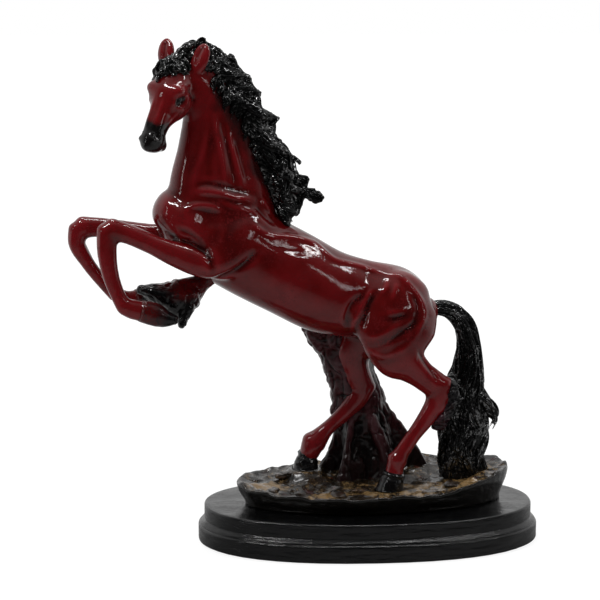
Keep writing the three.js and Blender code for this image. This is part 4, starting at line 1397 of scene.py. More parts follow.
@dataclass(frozen=True)
class LockMaker:
    """Makes a piece of hair from guide curves.

    Attributes:
        strands: Strands in each lock.
        points: Points along a strand.
        sides: Sides of a strand.
        spread: How far the strands stand from the lock's middle, as a share of its half width.
        thickness: The half width of a strand, as a share of the lock's.
        twist: Turns of a lock along its length.
        wave: Height of the waves, as a share of the lock's half width.
        waves: Waves along a strand.
    """

    strands: int
    points: int
    sides: int
    spread: float
    thickness: float
    twist: float
    wave: float
    waves: float

    def build(self, name: str, guides: list[Guide], material: Material) -> Object:
        """Sweep all the locks.

        Args:
            name: The name of the piece.
            guides: Points in millimetres and half widths of each lock.
            material: Its finish.

        Returns:
            The piece, as a plain mesh.
        """
        curve = bpy.data.curves.new(name + "_guides", "CURVE")
        curve.dimensions = "3D"
        for points, radii in guides:
            path = curve.splines.new("POLY")
            path.points.add(len(points) - 1)
            path.points.foreach_set("co", np.insert(points * MM, 3, 1.0, axis=1).ravel())
            path.points.foreach_set("radius", radii * MM)
        values = {key.capitalize(): value for key, value in asdict(self).items()}
        return grown(link(curve.name, curve), STRANDS, values | {"Material": material}, name)


def grown(
    holder: Object, tree: bpy.types.NodeTree, values: dict[str, object], name: str
) -> Object:
    """Run a node tree on an object and keep the result as a plain mesh.

    Args:
        holder: The object that the tree works on. It is removed.
        tree: The tree.
        values: The tree's inputs by name.
        name: The name of the result.

    Returns:
        The result.
    """
    modifier = holder.modifiers.new("grow", "NODES")
    modifier.node_group = tree
    for item in tree.interface.items_tree:
        if item.in_out == "INPUT" and item.name in values:
            modifier[item.identifier] = values[item.name]
    evaluated = holder.evaluated_get(bpy.context.evaluated_depsgraph_get())
    mesh = bpy.data.meshes.new_from_object(evaluated)
    bpy.data.objects.remove(holder)
    return show(mesh, name)


def wavy(
    rows: Sequence, radius: float, rng: np.random.Generator, sway: float, turns: float
) -> Guide:
    """Bend a row of points into a curly guide.

    Args:
        rows: The row, from root to tip.
        radius: The lock's half width.
        rng: The source of its phases.
        sway: How far it swings aside, in millimetres.
        turns: Swings along it.

    Returns:
        The guide's points and half widths.
    """
    t = np.linspace(0, 1, 26)
    line = spline(np.array(rows, float), t)
    along = unit(np.gradient(line, axis=0))
    side = unit(np.cross(along, UP + 0.01))
    lift = np.cross(along, side)
    phase = rng.uniform(0, 2 * np.pi, 2)
    swing = sway * smoothstep(t, 0, 0.3)[:, None]
    line = line + side * swing * np.sin(2 * np.pi * turns * t + phase[0])[:, None]
    line = line + lift * swing * 0.7 * np.sin(2 * np.pi * turns * 1.3 * t + phase[1])[:, None]
    belly = np.sin(np.pi * np.clip(t * 1.1, 0, 1)) ** 0.8
    width = radius * (0.55 + 0.6 * belly) * (1 - 0.85 * smoothstep(t, 0.55, 1.0))
    return line, np.maximum(width, 0.12)


def hair_core(chain: Chain, shrink: float) -> Surface:
    """Build the solid bed that locks lie on, at a scale across that keeps it under them."""
    bed = Chain(chain.centres, chain.sizes * shrink, chain.side)
    return bed.tube(90, 40, lobe=lambda angle, t: 1 + 0.06 * np.sin(9 * angle + 21 * t))


@dataclass
class CarvedHair:
    """Hair as it is cast: locks fused into one skin, with strands and curls carved along them.

    Attributes:
        voxel: The size of the skin's faces, in millimetres.
        strands: Ridges round a lock.
        rise: The height of a ridge.
        curl: The length of one bead along a ridge.
        twist: Turn of the ridges along a lock, in radians per millimetre.
        bead: The height of the beads, as a share of a ridge's.
        clump: The height of the broad lumps, as a share of a ridge's.
    """

    voxel: float = 0.55
    strands: int = 3
    rise: float = 0.36
    curl: float = 3.4
    twist: float = 0.08
    bead: float = 0.4
    clump: float = 0.35

    def build(
        self, name: str, guides: list[Guide], beds: list[Surface], material: Material
    ) -> Object:
        """Fuse the locks and their beds, and carve them.

        Args:
            name: The name of the piece.
            guides: Points in millimetres and half widths of each lock.
            beds: Solid forms under the locks.
            material: The finish.

        Returns:
            The piece.
        """
        locks = [Chain(p, np.stack((w, w * 0.85), -1)).tube(len(p) + 6, 12, cap=0.7) for p, w in guides]
        skin = Skin(name, [*beds, *locks], self.voxel)
        skin.smooth(1)
        skin.push(self.carving(skin.points, guides))
        skin.smooth(1, 0.6)
        return skin.to_object(material)

    def carving(self, points: np.ndarray, guides: list[Guide]) -> np.ndarray:
        """Read the height of the strands and beads at points of the skin."""
        count = sum(len(path) for path, _ in guides)
        tree, rows, at = KDTree(count), np.empty((count, 9)), 0
        for k, (path, width) in enumerate(guides):
            along = unit(np.gradient(path, axis=0))
            steps = np.linalg.norm(np.diff(path, axis=0), axis=1)
            run = np.concatenate(((0.0,), np.cumsum(steps)))
            for row in zip(path, along, run, width):
                tree.insert(row[0], at)
                rows[at] = (*row[0], *row[1], row[2], row[3], k * 2.4)
                at += 1
        tree.balance()
        hits = (tree.find_n(point, 4) for point in points)
        nearest = [min(near, key=lambda hit: hit[2] - rows[hit[1], 7])[1] for near in hits]
        found = rows[nearest]
        off, along = points - found[:, :3], found[:, 3:6]
        run, phase = found[:, 6] + dot(off, along), found[:, 8]
        side = unit(np.cross(along, UP + 0.01))
        angle = np.arctan2(dot(off, np.cross(along, side)), dot(off, side))
        wound = self.strands * angle + self.twist * 2 * np.pi * run + phase
        ridge = np.abs(np.cos(0.5 * wound)) * 2 - 1.2
        bead = np.sin(2 * np.pi * run / self.curl + 1.5 * np.cos(2 * angle) + phase)
        clump = Noise(91).fractal(points, 5.0, 2)
        return self.rise * (ridge + self.bead * bead + self.clump * clump)


def dressed_hair(
    name: str, guides: list[Guide], beds: list[Surface], carved: CarvedHair, fine: LockMaker
) -> list[Object]:
    """Build the locks and the fine strands over them.

    Args:
        name: What the hair is.
        guides: Points in millimetres and half widths of each lock.
        beds: Solid forms under the locks.
        carved: How the locks are carved.
        fine: How the strands run.

    Returns:
        Both pieces.
    """
    shown = HAIR_LACQUER.build()
    locks = carved.build(name + "_locks", guides, beds, shown)
    return [locks, fine.build(name + "_strands", guides, shown)]


MANE_STRANDS = LockMaker(3, 22, 6, spread=0.9, thickness=0.28, twist=0.3, wave=0.14, waves=2.0)
FORELOCK_STRANDS = LockMaker(2, 22, 6, spread=0.85, thickness=0.36, twist=0.8, wave=0.15, waves=2.0)
TAIL_STRANDS = LockMaker(2, 60, 8, spread=0.95, thickness=0.34, twist=0.35, wave=0.06, waves=3.0)
CREST: tuple[Station, ...] = (
    (-106, -5, 281, 4.5, 5), (-95, -4, 280.5, 5.5, 5.5), (-84, -3, 274, 6.5, 6.5),
    (-74, -2, 258, 8, 6.5), (-66, -1.5, 241, 9, 6.5), (-58.5, -1, 223, 9.4, 6.5),
    (-51, -0.5, 206, 9, 6), (-46, 0, 192, 6, 4.5),
)
TAIL: tuple[Station, ...] = (
    (33, 0, 132, 3.6, 4), (42, 0, 134, 3.8, 4.2), (51, 0, 131.5, 4.6, 5), (58, 0, 124, 5.4, 6),
    (61.5, 0, 111, 6.2, 7), (60.8, 0, 98, 7.8, 8), (59.2, 0, 84, 11, 9.5), (58.4, 0, 68, 13.4, 10.5),
    (58.6, 0, 52, 13.8, 11.5), (59.2, 0, 34, 14.6, 12),
)


class NeckSide:
    """Finds points over the sides of the neck by where they lie along and up the horse."""

    def __init__(self) -> None:
        share, angle = np.meshgrid(np.linspace(0, 1, 160), np.linspace(0, np.pi, 90), indexing="ij")
        c, s = np.cos(angle.ravel())[:, None], np.sin(angle.ravel())[:, None]
        self.near: dict[int, np.ndarray] = {}
        self.centre, _, deep, wide, size = Chain.along(NECK).section(share.ravel())
        for hand in (-1, 1):
            across = wide * size[:, 1:] * s * hand * (1 - NECK_PINCH * c)
            self.near[hand] = self.centre + deep * size[:, :1] * c + across

    def point(self, s: float, h: float, hand: int, off: float) -> np.ndarray:
        """Place a point on the neck.

        Args:
            s: Where it lies along the horse.
            h: Its height.
            hand: -1 for the near side, 1 for the far side.
            off: How far it stands off the skin.

        Returns:
            The point, in the statuette's frame.
        """
        spots = horse_frame(self.near[hand])
        best = ((spots[:, (0, 2)] - (s, h)) ** 2).sum(1).argmin()
        out = unit(self.near[hand][best] - self.centre[best])
        return STAND.place((s, spots[best, 1], h)) + out * off


@dataclass(frozen=True)
class Outline:
    """The line that the mane's tips reach, as s and h at its middle, from the poll down."""

    corners: tuple[Spot, ...] = (
        (-110, 284.5), (-106.6, 285.8), (-101, 290.3), (-92.8, 292), (-90.5, 283.4), (-85.6, 286),
        (-81.5, 281.2), (-77.6, 281.6), (-73, 272), (-67.4, 270.4), (-65.6, 263), (-60.6, 260.6),
        (-65.6, 253.6), (-50.4, 246), (-56, 239.6), (-42.2, 224), (-50.4, 218.4), (-39.6, 213.4),
        (-47.4, 209.4), (-35, 205), (-41.2, 199), (-39.2, 192), (-44, 186), (-60, 176),
    )
    middle: float = -2.0
    skew: Spot = (-0.19, 0.1)

    def trim(self, guide: Guide, slack: float) -> Guide:
        """Draw a lock in where it stands out of the line.

        Args:
            guide: Its points and half widths.
            slack: How far inside the line it stays.

        Returns:
            The lock, drawn in.
        """
        points, widths = guide
        place = horse_frame(points)
        seen = place[:, (0, 2)] + (place[:, 1:2] - self.middle) * self.skew
        start, end = np.array(self.corners[:-1], float), np.array(self.corners[1:], float)
        step = end - start
        reach = ((seen[:, None] - start) * step).sum(-1) / (step**2).sum(-1)
        foot = start + np.clip(reach, 0, 1)[..., None] * step
        away = np.linalg.norm(seen[:, None] - foot, axis=-1)
        best = away.argmin(1)
        out = unit(np.column_stack((-step[:, 1], step[:, 0])))[best]
        rows = np.arange(len(seen))
        beyond = seen - foot[rows, best]
        side = np.where((beyond * out).sum(-1) < 0, -1.0, 1.0) * away[rows, best]
        out = np.where(side[:, None] > 0.05, unit(beyond + out * 1e-6), out)
        excess = np.maximum(side + widths * 0.8 + slack, 0)
        place[:, (0, 2)] -= out * excess[:, None]
        return STAND.place(place), widths


@dataclass
class Mane:
    """The mane: a bed along the crest, tufts that stand off its back, and curls on both sides.

    Attributes:
        crest: The form of the bed.
        tufts: Tip and root of each tuft, as s and h, and the half width of its locks.
        per_tuft: Locks in a tuft.
        edge: The hair's front edge on the neck, as s and h, from the poll down.
        layers: Rows of curls behind that edge.
        knots: Locks of the tuft over the poll.
        seed: The seed of all that varies.
    """

    crest: tuple[Station, ...] = CREST
    tufts: tuple[Station, ...] = (
        (-85.8, 285.6, -104, 278, 2.3), (-77.8, 281.2, -100, 279, 2.4), (-67.8, 270.2, -93, 279, 2.5),
        (-61, 260.4, -86, 275, 2.6), (-66, 252, -82, 269, 2.3), (-50.8, 245.9, -76, 262, 2.6),
        (-57, 237, -72, 256, 2.3), (-42.6, 224, -66, 243, 2.7), (-51, 217, -64, 238, 2.3),
        (-40, 213.3, -61, 228, 2.4), (-35.4, 205, -58, 219, 2.6), (-41.6, 198.6, -55, 212, 2.4),
        (-40, 192, -53, 204, 2.4), (-44.5, 187, -52, 198, 2.2),
    )
    per_tuft: int = 6
    edge: tuple[Spot, ...] = (
        (-96.5, 277), (-93, 272), (-91, 267.5), (-89, 261.6), (-87.6, 256.5), (-84.4, 251.6),
        (-79.5, 247.5), (-75.2, 242.5), (-72.1, 234.7), (-69.8, 228), (-67.6, 220), (-64.2, 213.3),
        (-59.7, 208.7), (-54, 202.9), (-50.6, 198.3), (-48.3, 193.7),
    )
    layers: int = 4
    knots: int = 9
    seed: int = 11

    def curls(self, hand: int, rng: np.random.Generator) -> list[Guide]:
        """List the curls on one side of the neck."""
        neck, guides = NeckSide(), []
        for k, (s, h) in enumerate(self.edge):
            for layer in range(self.layers):
                low_s = s + 5.2 * layer + rng.uniform(-1.5, 1.5)
                low_h = h + rng.uniform(-2, 2) - 1.2 * layer
                steps = (
                    (3 + rng.uniform(-2, 2), 15, 0.8), (1.5 + rng.uniform(-2, 2), 10, 1.3),
                    (rng.uniform(-1, 2), 5, 1.1), (0, 0, 0.3),
                )
                rows = [
                    neck.point(low_s + back, low_h + up, hand, off + 0.35 * layer)
                    for back, up, off in steps
                ]
                radius, sway, turns = (rng.uniform(*ends) for ends in ((1.5, 2.2), (0.6, 1.3), (1.5, 2.6)))
                guides.append(wavy(rows, radius, rng, sway, turns))
        return guides

    def build(self) -> list[Object]:
        """Build the mane and the tuft over the poll."""
        rng = np.random.default_rng(self.seed)
        guides = [*self.curls(-1, rng), *self.curls(1, rng)]
        for tip_s, tip_h, root_s, root_h, radius in self.tufts:
            for k in range(self.per_tuft):
                w = (k - (self.per_tuft - 1) / 2) * 2.1 + rng.uniform(-0.7, 0.7)
                end = np.array((tip_s - 0.35 * abs(w), 0.45 * w - 2, tip_h)) + rng.uniform(-0.7, 0.7, 3)
                root = np.array((root_s, 0.8 * w - 2, root_h - 0.3 * abs(w)))
                lift = np.array((-0.6, 0.6 * w, -1.2 - 0.35 * abs(w)))
                low, high = root * 0.6 + end * 0.4 + lift, root * 0.2 + end * 0.8 + lift * 0.5
                rows, width = STAND.place([root, low, high, end]), radius * rng.uniform(0.75, 1.05)
                guides.append(wavy(rows, width, rng, rng.uniform(0.3, 0.8), 1.3))
        for _ in range(self.knots):
            aside, drop = rng.uniform(-4, 3), rng.uniform(-2.5, 0.3)
            rows = (
                (-109, -5 + aside * 0.4, 277),
                (-107, -4.5 + aside * 0.8, 283.5 + drop),
                (-101.5, -4 + aside, 288.2 + drop),
                (-94.8 + rng.uniform(-2, 0), -3.5 + aside * 0.5, 290 + drop),
            )
            guides.append(wavy(STAND.place(rows), rng.uniform(1.9, 2.4), rng, 0.6, 1.6))
        outline = Outline()
        guides = [outline.trim(outline.trim(guide, 0.5), rng.uniform(0, 0.6)) for guide in guides]
        bed = hair_core(Chain.along(self.crest), 0.92)
        return dressed_hair("mane", guides, [bed], CarvedHair(), MANE_STRANDS)


@dataclass
class Forelock:
    """The forelock that lies on the forehead between the ears."""

    locks: int = 24
    seed: int = 23

    def build(self) -> list[Object]:
        """Build the forelock."""
        rng = np.random.default_rng(self.seed)
        skull = np.array(HorseHead.skull)

        def on_face(along: float, left: float, off: float) -> Point:
            """Give a point that far off the face."""
            up, deep, wide = (np.interp(along, skull[:, 0], skull[:, k]) for k in (1, 2, 3))
            dip = math.sqrt(max(0.0, 1 - (left / (wide + 0.5)) ** 2))
            return along, up + deep * dip + off, left

        guides = []
        for k in range(self.locks):
            left = -11.5 + 18.0 * (k + rng.uniform(-0.4, 0.4)) / (self.locks - 1)
            end = rng.uniform(6, 17) * (1 - 0.5 * smoothstep(left, 0.5, 5.5))
            start = rng.uniform(-7, -2)
            rows = (
                on_face(start, left * 0.5, 3.2),
                on_face(end * 0.2, left * 0.75 + rng.uniform(-1, 1), rng.uniform(2.0, 3.6)),
                on_face(end * 0.62, left + rng.uniform(-1, 1), rng.uniform(1.0, 2.4)),
                on_face(end, left * 1.06, 0.3),
            )
            guides.append(wavy(HEAD.point(rows), rng.uniform(1.8, 2.6), rng, 1.5, 2.0))
        carved = CarvedHair(voxel=0.45, rise=0.34, curl=3.0, bead=0.3)
        return dressed_hair("forelock", guides, [], carved, FORELOCK_STRANDS)


@dataclass
class Tail:
    """The tail: wavy locks round its line, one that curls off its back, and the tangle on the hock."""

    line: tuple[Station, ...] = TAIL
    locks: int = 30
    curl: tuple[Point, ...] = (
        (62, -4, 93), (67, -5, 84), (72, -6, 76), (75.5, -7, 69), (73.5, -8, 62),
    )
    tangle: int = 12
    patch: tuple[Station, ...] = (
        (48, -13, 96, 2.6, 2.6), (46, -15, 91.5, 5.0, 4.4), (45, -15, 86, 6.4, 5.0),
        (43, -15, 79, 6.6, 4.6), (41, -14, 72, 5.6, 3.6), (40, -12, 66, 4.0, 2.6),
    )
    seed: int = 31

    def build(self) -> list[Object]:
        """Build the tail."""
        rng = np.random.default_rng(self.seed)
        line = Chain.along(self.line)
        guides = []
        t = np.linspace(0, 1, 70)
        for k in range(self.locks):
            start = 0.0 if k < 8 else rng.uniform(0.12, 0.5)
            stop = 1.0 if k % 4 else rng.uniform(0.75, 0.95)
            run = start + (stop - start) * t
            centre, _, deep, wide, size = line.section(run)
            low = smoothstep(run, 0.45, 0.85)
            swing = (0.1 + 0.16 * low) * np.sin(2 * np.pi * (3.4 * run + rng.uniform(0, 1)))
            turn = 2 * np.pi * (k * 0.618) + 0.9 * run + swing * smoothstep(run, 0.15, 0.5)
            out = 0.84 + (0.03 + 0.09 * low) * np.sin(2 * np.pi * (4.2 * run + rng.uniform(0, 1)))
            path = centre + deep * (size[:, 0] * out * np.cos(turn))[:, None]
            path += wide * (size[:, 1] * out * np.sin(turn))[:, None]
            width = size.min(1) * 0.3 * (0.5 + 0.5 * smoothstep(t, 0, 0.15))
            guides.append((path, np.clip(width * (1 - 0.6 * smoothstep(t, 0.8, 1)), 1.0, 2.9)))
        for shift in (0.0, 1.6, -1.4):
            guides.append(wavy(STAND.place(self.curl) + (shift * 0.5, shift, 0), 2.6, rng, 0.9, 1.6))
        bed = hair_core(line, 0.88)
        carved = CarvedHair(voxel=0.6, rise=0.5, curl=9.0, twist=0.0, bead=0.12, clump=0.2)
        return [*dressed_hair("tail", guides, [bed], carved, TAIL_STRANDS), self.knotted(rng)]

    def knotted(self, rng: np.random.Generator) -> Object:
        """Build the crusty, tangled hair that fills the gap between the hock and the tail."""
        forms = [Chain.along(self.patch).tube(40, 36)]
        for _ in range(self.tangle):
            h, w = rng.uniform(74, 93), rng.uniform(-20, -14)
            start = np.interp(h, (70, 80, 92, 98), (37, 41, 43, 43)) + rng.uniform(-1.5, 1.5)
            steps = ((0, 0, -3), (4, -1, 0), (8, 0, 2), (13, 5, 4))
            rows = STAND.place([(start + back, w + aside, h + up) for back, aside, up in steps])
            path, width = wavy(rows, rng.uniform(0.6, 0.95), rng, 0.9, 2.2)
            forms.append(Chain(path, np.stack((width, width), -1)).tube(30, 10, cap=0.7))
        skin = Skin("tail_tangle", forms, 0.42)
        skin.smooth(2)
        crinkle = 1 - np.abs(Noise(92).value(skin.points, 2.6)) * 3.2
        skin.push(0.45 * np.clip(crinkle, -0.8, 1) + 0.5 * Noise(93).fractal(skin.points, 5.0, 2))
        skin.smooth(1, 0.6)
        place = horse_frame(skin.points)
        # Painted shade in the tangle's hollows and painted highlight on its crinkles.
        skin.masks["hollow"] = 0.5 + skin.hollows(6) * 1.5
        across = place[:, 0] + 0.1 * (place[:, 2] - 85) + 2.5 * Noise(94).fractal(skin.points, 5.0)
        skin.masks["black_paint_and_shadow"] = 0.45 + 0.55 * smoothstep(across, 40, 47)
        return skin.to_object(TANGLE_LACQUER.build())


# The stand


@dataclass
class Hoof:
    """A hoof: a wall that flares to its sole, under a rim of hair.

    Attributes:
        stations: Its sections.
        sole: The height that a standing hoof is cut flat at.
        fade: The shares of it between which red turns to black.
        rough: The height of its lumps.
    """

    stations: tuple[Station, ...]
    sole: float | None = None
    fade: Spot = (-0.4, -0.1)
    rough: float = 0.2

    @staticmethod
    def wall(angle: np.ndarray, t: np.ndarray) -> np.ndarray:
        """Scale the radius: a rim at the top, growth rings below it, and a cleft at the heel."""
        rim = 0.05 * np.exp(-(((t - 0.1) / 0.1) ** 2)) - 0.06 * np.exp(-(((t - 0.3) / 0.12) ** 2))
        rings = 0.004 * np.sin(30 * t) * smoothstep(t, 0.4, 0.6)
        off_heel = np.abs(np.angle(np.exp(1j * angle)))
        return 1 + rim + rings - 0.1 * np.exp(-((off_heel / 0.22) ** 2)) * smoothstep(t, 0.3, 0.8)

    def build(self, name: str) -> Object:
        """Build the hoof, cut flat at its sole where it stands."""
        chain = Chain.along(self.stations)
        raised = self.sole is None
        made = chain.tube(44, 56, cap=0.7 if raised else 0.25, lobe=None if raised else self.wall)
        dents = self.rough * Noise(45).fractal(made.verts, 4.5, 3)
        made.verts += unit(made.verts - made.verts.mean(0)) * dents[:, None]
        if not raised:
            made.verts[:, 2] = np.maximum(made.verts[:, 2], self.sole)
        share = chain.share_of(made.verts) + 0.16 * Noise(46).fractal(made.verts, 6.0)
        masks = {"hollow": np.full(len(share), 0.5), "black_paint_and_shadow": smoothstep(share, *self.fade)}
        return made.to_object(name, HOOF_LACQUER.build(), masks)


BRACE: tuple[Station, ...] = (
    (-83, 3, 161, 4, 4), (-92, 2, 155.4, 4.6, 5), (-100, 1, 150.6, 7.4, 7),
    (-108, -1, 145.4, 11.2, 9.5), (-117, -1, 146.2, 8.2, 9.5), (-126, -1, 149, 5.2, 7),
    (-131, -1, 150.4, 2.6, 4),
)
BRACE_TIP: tuple[Station, ...] = (
    (-105, -2, 147, 8, 8), (-106.5, -4, 140, 6, 7), (-108.3, -7, 134.5, 4.0, 5),
    (-108.8, -9, 131.6, 3.2, 3.8),
)


@dataclass
class HoofBrace:
    """The rough web that ties the raised hooves to the chest, black below and dark red above."""

    voxel: float = 0.42

    def build(self) -> Object:
        """Build the brace with its lumps and folds."""
        forms = [Chain.along(BRACE).tube(60, 60, pinch=0.1), Chain.along(BRACE_TIP).tube(30, 36)]
        skin = Skin("hoof_brace_skin", forms, self.voxel)
        skin.smooth(8)
        folds = Noise(41).fractal(skin.points, 12.0, 2)
        skin.push(1.1 * folds + 0.3 * Noise(42).fractal(skin.points, 3.2, 2))
        skin.smooth(2)
        crest = np.exp(-((Noise(43).value(skin.points, 8.5) / 0.14) ** 2))
        rough = smoothstep(Noise(44).value(skin.points, 9.0), -0.1, 0.5)
        skin.push(-0.5 * crest + 0.35 * rough * Noise(47).value(skin.points, 1.6))
        skin.smooth(1)
        s, _, h = horse_frame(skin.points).T
        above = (h - 146) + 0.55 * (s + 108) + 5 * Noise(48).fractal(skin.points, 9.0)
        # Painted shade in the brace's hollows and painted highlight on its folds.
        skin.masks["hollow"] = 0.45 + skin.hollows(8) * 0.8
        skin.masks["black_paint_and_shadow"] = 1 - 0.85 * smoothstep(above, -4, 6)
        return skin.to_object(HOOF_LACQUER.build())


TRUNK: tuple[Station, ...] = (
    (-23, 13, 128, 13.5, 8), (-18, 19, 118, 13.5, 10), (-11, 22, 110, 14, 10.5), (-6, 23, 97, 14.5, 11),
    (-1.5, 24, 84, 15, 11.5), (2, 24, 72, 16, 12), (5, 23, 60, 18.5, 13), (7.5, 21, 46, 23, 14),
    (8.5, 19, 28, 30, 16),
)


@dataclass
class TreeTrunk:
    """The tree trunk behind the hind legs, with its bark and roots.

    Attributes:
        roots: How many roots flare out at its foot.
        root_depth: How far they stand out, as a share of its half width.
        voxel: The size of the skin's faces, in millimetres.
    """

    roots: int = 6
    root_depth: float = 0.28
    voxel: float = 0.62

    def lobe(self, angle: np.ndarray, t: np.ndarray) -> np.ndarray:
        """Scale the radius for the roots and the long ribs of the bark."""
        root = self.root_depth * smoothstep(t, 0.6, 1) * np.cos(self.roots * angle + 1)
        rib = 0.03 * np.sin(7 * angle + 5 * t) + 0.012 * np.sin(13 * angle - 9 * t)
        return 1 + root + rib

    def build(self) -> Object:
        """Build the trunk, its bark and its roots."""
        form = Chain.along(TRUNK).tube(150, 200, cap=0.05, lobe=self.lobe)
        skin = Skin("tree_trunk_skin", [form], self.voxel)
        skin.smooth(2)
        stretched = skin.points * (1, 1, 0.4)
        groove = np.exp(-((Noise(51).value(stretched, 5.2) / 0.1) ** 2))
        pit = np.clip(Noise(55).fractal(skin.points, 3.4, 2) - 0.25, 0, 1)
        bark = 0.7 * Noise(53).fractal(skin.points, 9.0, 3) - 0.75 * groove - 1.2 * pit
        place = horse_frame(skin.points)
        low = 1 - smoothstep(place[:, 2], 66, 78)
        skin.push((bark + 0.3 * Noise(52).fractal(stretched, 2.4, 2)) * (1 - 0.3 * low))
        roots = TRUNK_RELIEF.lift(place)
        skin.push(roots)
        skin.smooth(1)
        # Painted shade on the lower trunk and in the root furrows, painted highlight on the root ridges.
        painted_shade_and_highlight = 0.22 * low - np.clip(roots * 0.2, -0.4, 0.5)
        skin.masks["hollow"] = 0.45 + skin.hollows(10) * 1.1 + skin.hollows(60) * 0.25 + painted_shade_and_highlight
        height = place[:, 2] + 5 * Noise(54).fractal(skin.points, 9.0)
        skin.masks["foot"] = 1 - smoothstep(height, 36, 64)
        return skin.to_object(BARK.build())


TRUNK_RELIEF = Relief(
    swells=(
        Swell((-17, 22, 70), 5.0, 4.4), Swell((-19, 19, 69), 2.2, -1.4), Swell((-14, 10, 100), 6, 1.2),
        Swell((14, 14, 84), 5, 1.4), Swell((0, 8, 50), 6, -2.6), Swell((20, 9, 48), 5, -2.2),
    ),
    lines=(
        Line(((-6, 13, 69), (-9, 9, 62), (-13.7, 6, 54), (-18, 3, 46), (-22, 0, 37)), 3.2, 2.6),
        Line(((4.5, 12, 70), (7, 9, 62), (10, 5, 52), (12.5, 2, 43), (14, -1, 36)), 3.2, 2.6),
        Line(((-1, 12, 66), (-3, 7, 54), (-6, 3, 42)), -2.6, 3.0),
        Line(((11, 13, 72), (15, 9, 60), (21, 5, 46)), -2.2, 2.4),
        Line(((16, 14, 78), (22, 10, 64), (30, 7, 50), (36, 5, 40)), 1.6, 2.6),
        Line(((-11, 14, 72), (-16, 10, 58), (-24, 7, 44)), -1.8, 2.4),
    ),
)


@dataclass
class Tier:
    """A tier of the stand, a squarish oval in plan.

    Attributes:
        length: Its length.
        width: Its width.
        square: How square the oval is, 2 for an ellipse.
        foot: The height of its underside.
        top: The height of its top.
        sides: Points round it.
    """

    length: float
    width: float
    square: float
    foot: float
    top: float
    sides: int

    def oval(self, half_length: float, half_width: float, square: float) -> np.ndarray:
        """Give the points of an oval in plan."""
        angle = circle(self.sides)
        rows = ((half_length, np.cos(angle)), (half_width, np.sin(angle)))
        return np.stack([half * np.sign(v) * np.abs(v) ** (2 / square) for half, v in rows], -1)

    def rim(self, inset: float, share: float = 1.0) -> np.ndarray:
        """Give the points of the tier's own oval, drawn in and then scaled."""
        half_length, half_width = self.length / 2 - inset, self.width / 2 - inset
        return self.oval(half_length * share, half_width * share, self.square)


@dataclass
class Plinth(Tier):
    """The oval stepped plinth.

    Attributes:
        step: The height of the lower tier's top.
        inset: How far the upper tier stands back.
        cove: The radius of the hollow between the tiers.
        lift: How much higher than wide the hollow is.
        round: The radius of its edges.
        uneven: How far the casting strays from its shape.
    """

    length: float = 198.0
    width: float = 114.0
    square: float = 2.25
    foot: float = 1.0
    top: float = 22.0
    sides: int = 320
    step: float = 10.6
    inset: float = 3.0
    cove: float = 1.6
    lift: float = 1.6
    round: float = 1.2
    uneven: float = 0.16

    def profile(self) -> list[Spot]:
        """List inset and height from the foot to the top."""
        quarter = np.linspace(0, np.pi / 2, 7)
        r, neck = self.round, self.inset + self.cove * 0.3
        rows = [(0.7 * r * (1 - math.sin(a)), self.foot + r * (1 - math.cos(a))) for a in quarter]
        rows += [(0.0, z) for z in np.linspace(self.foot + r, self.step - r, 9)[1:]]
        rows += [(r * (1 - math.cos(a)), self.step - r + r * math.sin(a)) for a in quarter[1:]]
        for k in np.linspace(0, 1, 15)[1:]:
            back = r + (neck - r) * (1 - math.cos(np.pi * k)) / 2 + 0.15 * k
            rows.append((back, self.step + (self.cove + self.lift) * k**0.8))
        above = self.step + self.cove + self.lift
        rows += [(neck, z) for z in np.linspace(above, self.top - r, 8)[1:]]
        rows += [(neck + r * (1 - math.cos(a)), self.top - r + r * math.sin(a)) for a in quarter[1:]]
        return rows

    def build(self) -> Object:
        """Build the plinth, a little uneven as cast."""
        rows = [(inset, 1.0, height) for inset, height in self.profile()]
        rows += [(rows[-1][0], share, self.top) for share in np.linspace(0.97, 0.04, 26)]
        rings = [np.insert(self.rim(inset, share), 2, height, axis=1) for inset, share, height in rows]
        made = Surface.of_rings(np.array(rings))
        outward = unit(made.verts * (1, 1, 0) + 1e-6)
        uneven = self.uneven * Noise(61).fractal(made.verts * (1, 1, 2.5), 26.0, 2)
        height = made.verts[:, 2]
        side = smoothstep(height, self.foot + 0.2, self.foot + 2) * (height < self.top - 0.02)
        made.verts += outward * (uneven * side)[:, None]
        return made.to_object("plinth_body", PLINTH_BLACK.build())


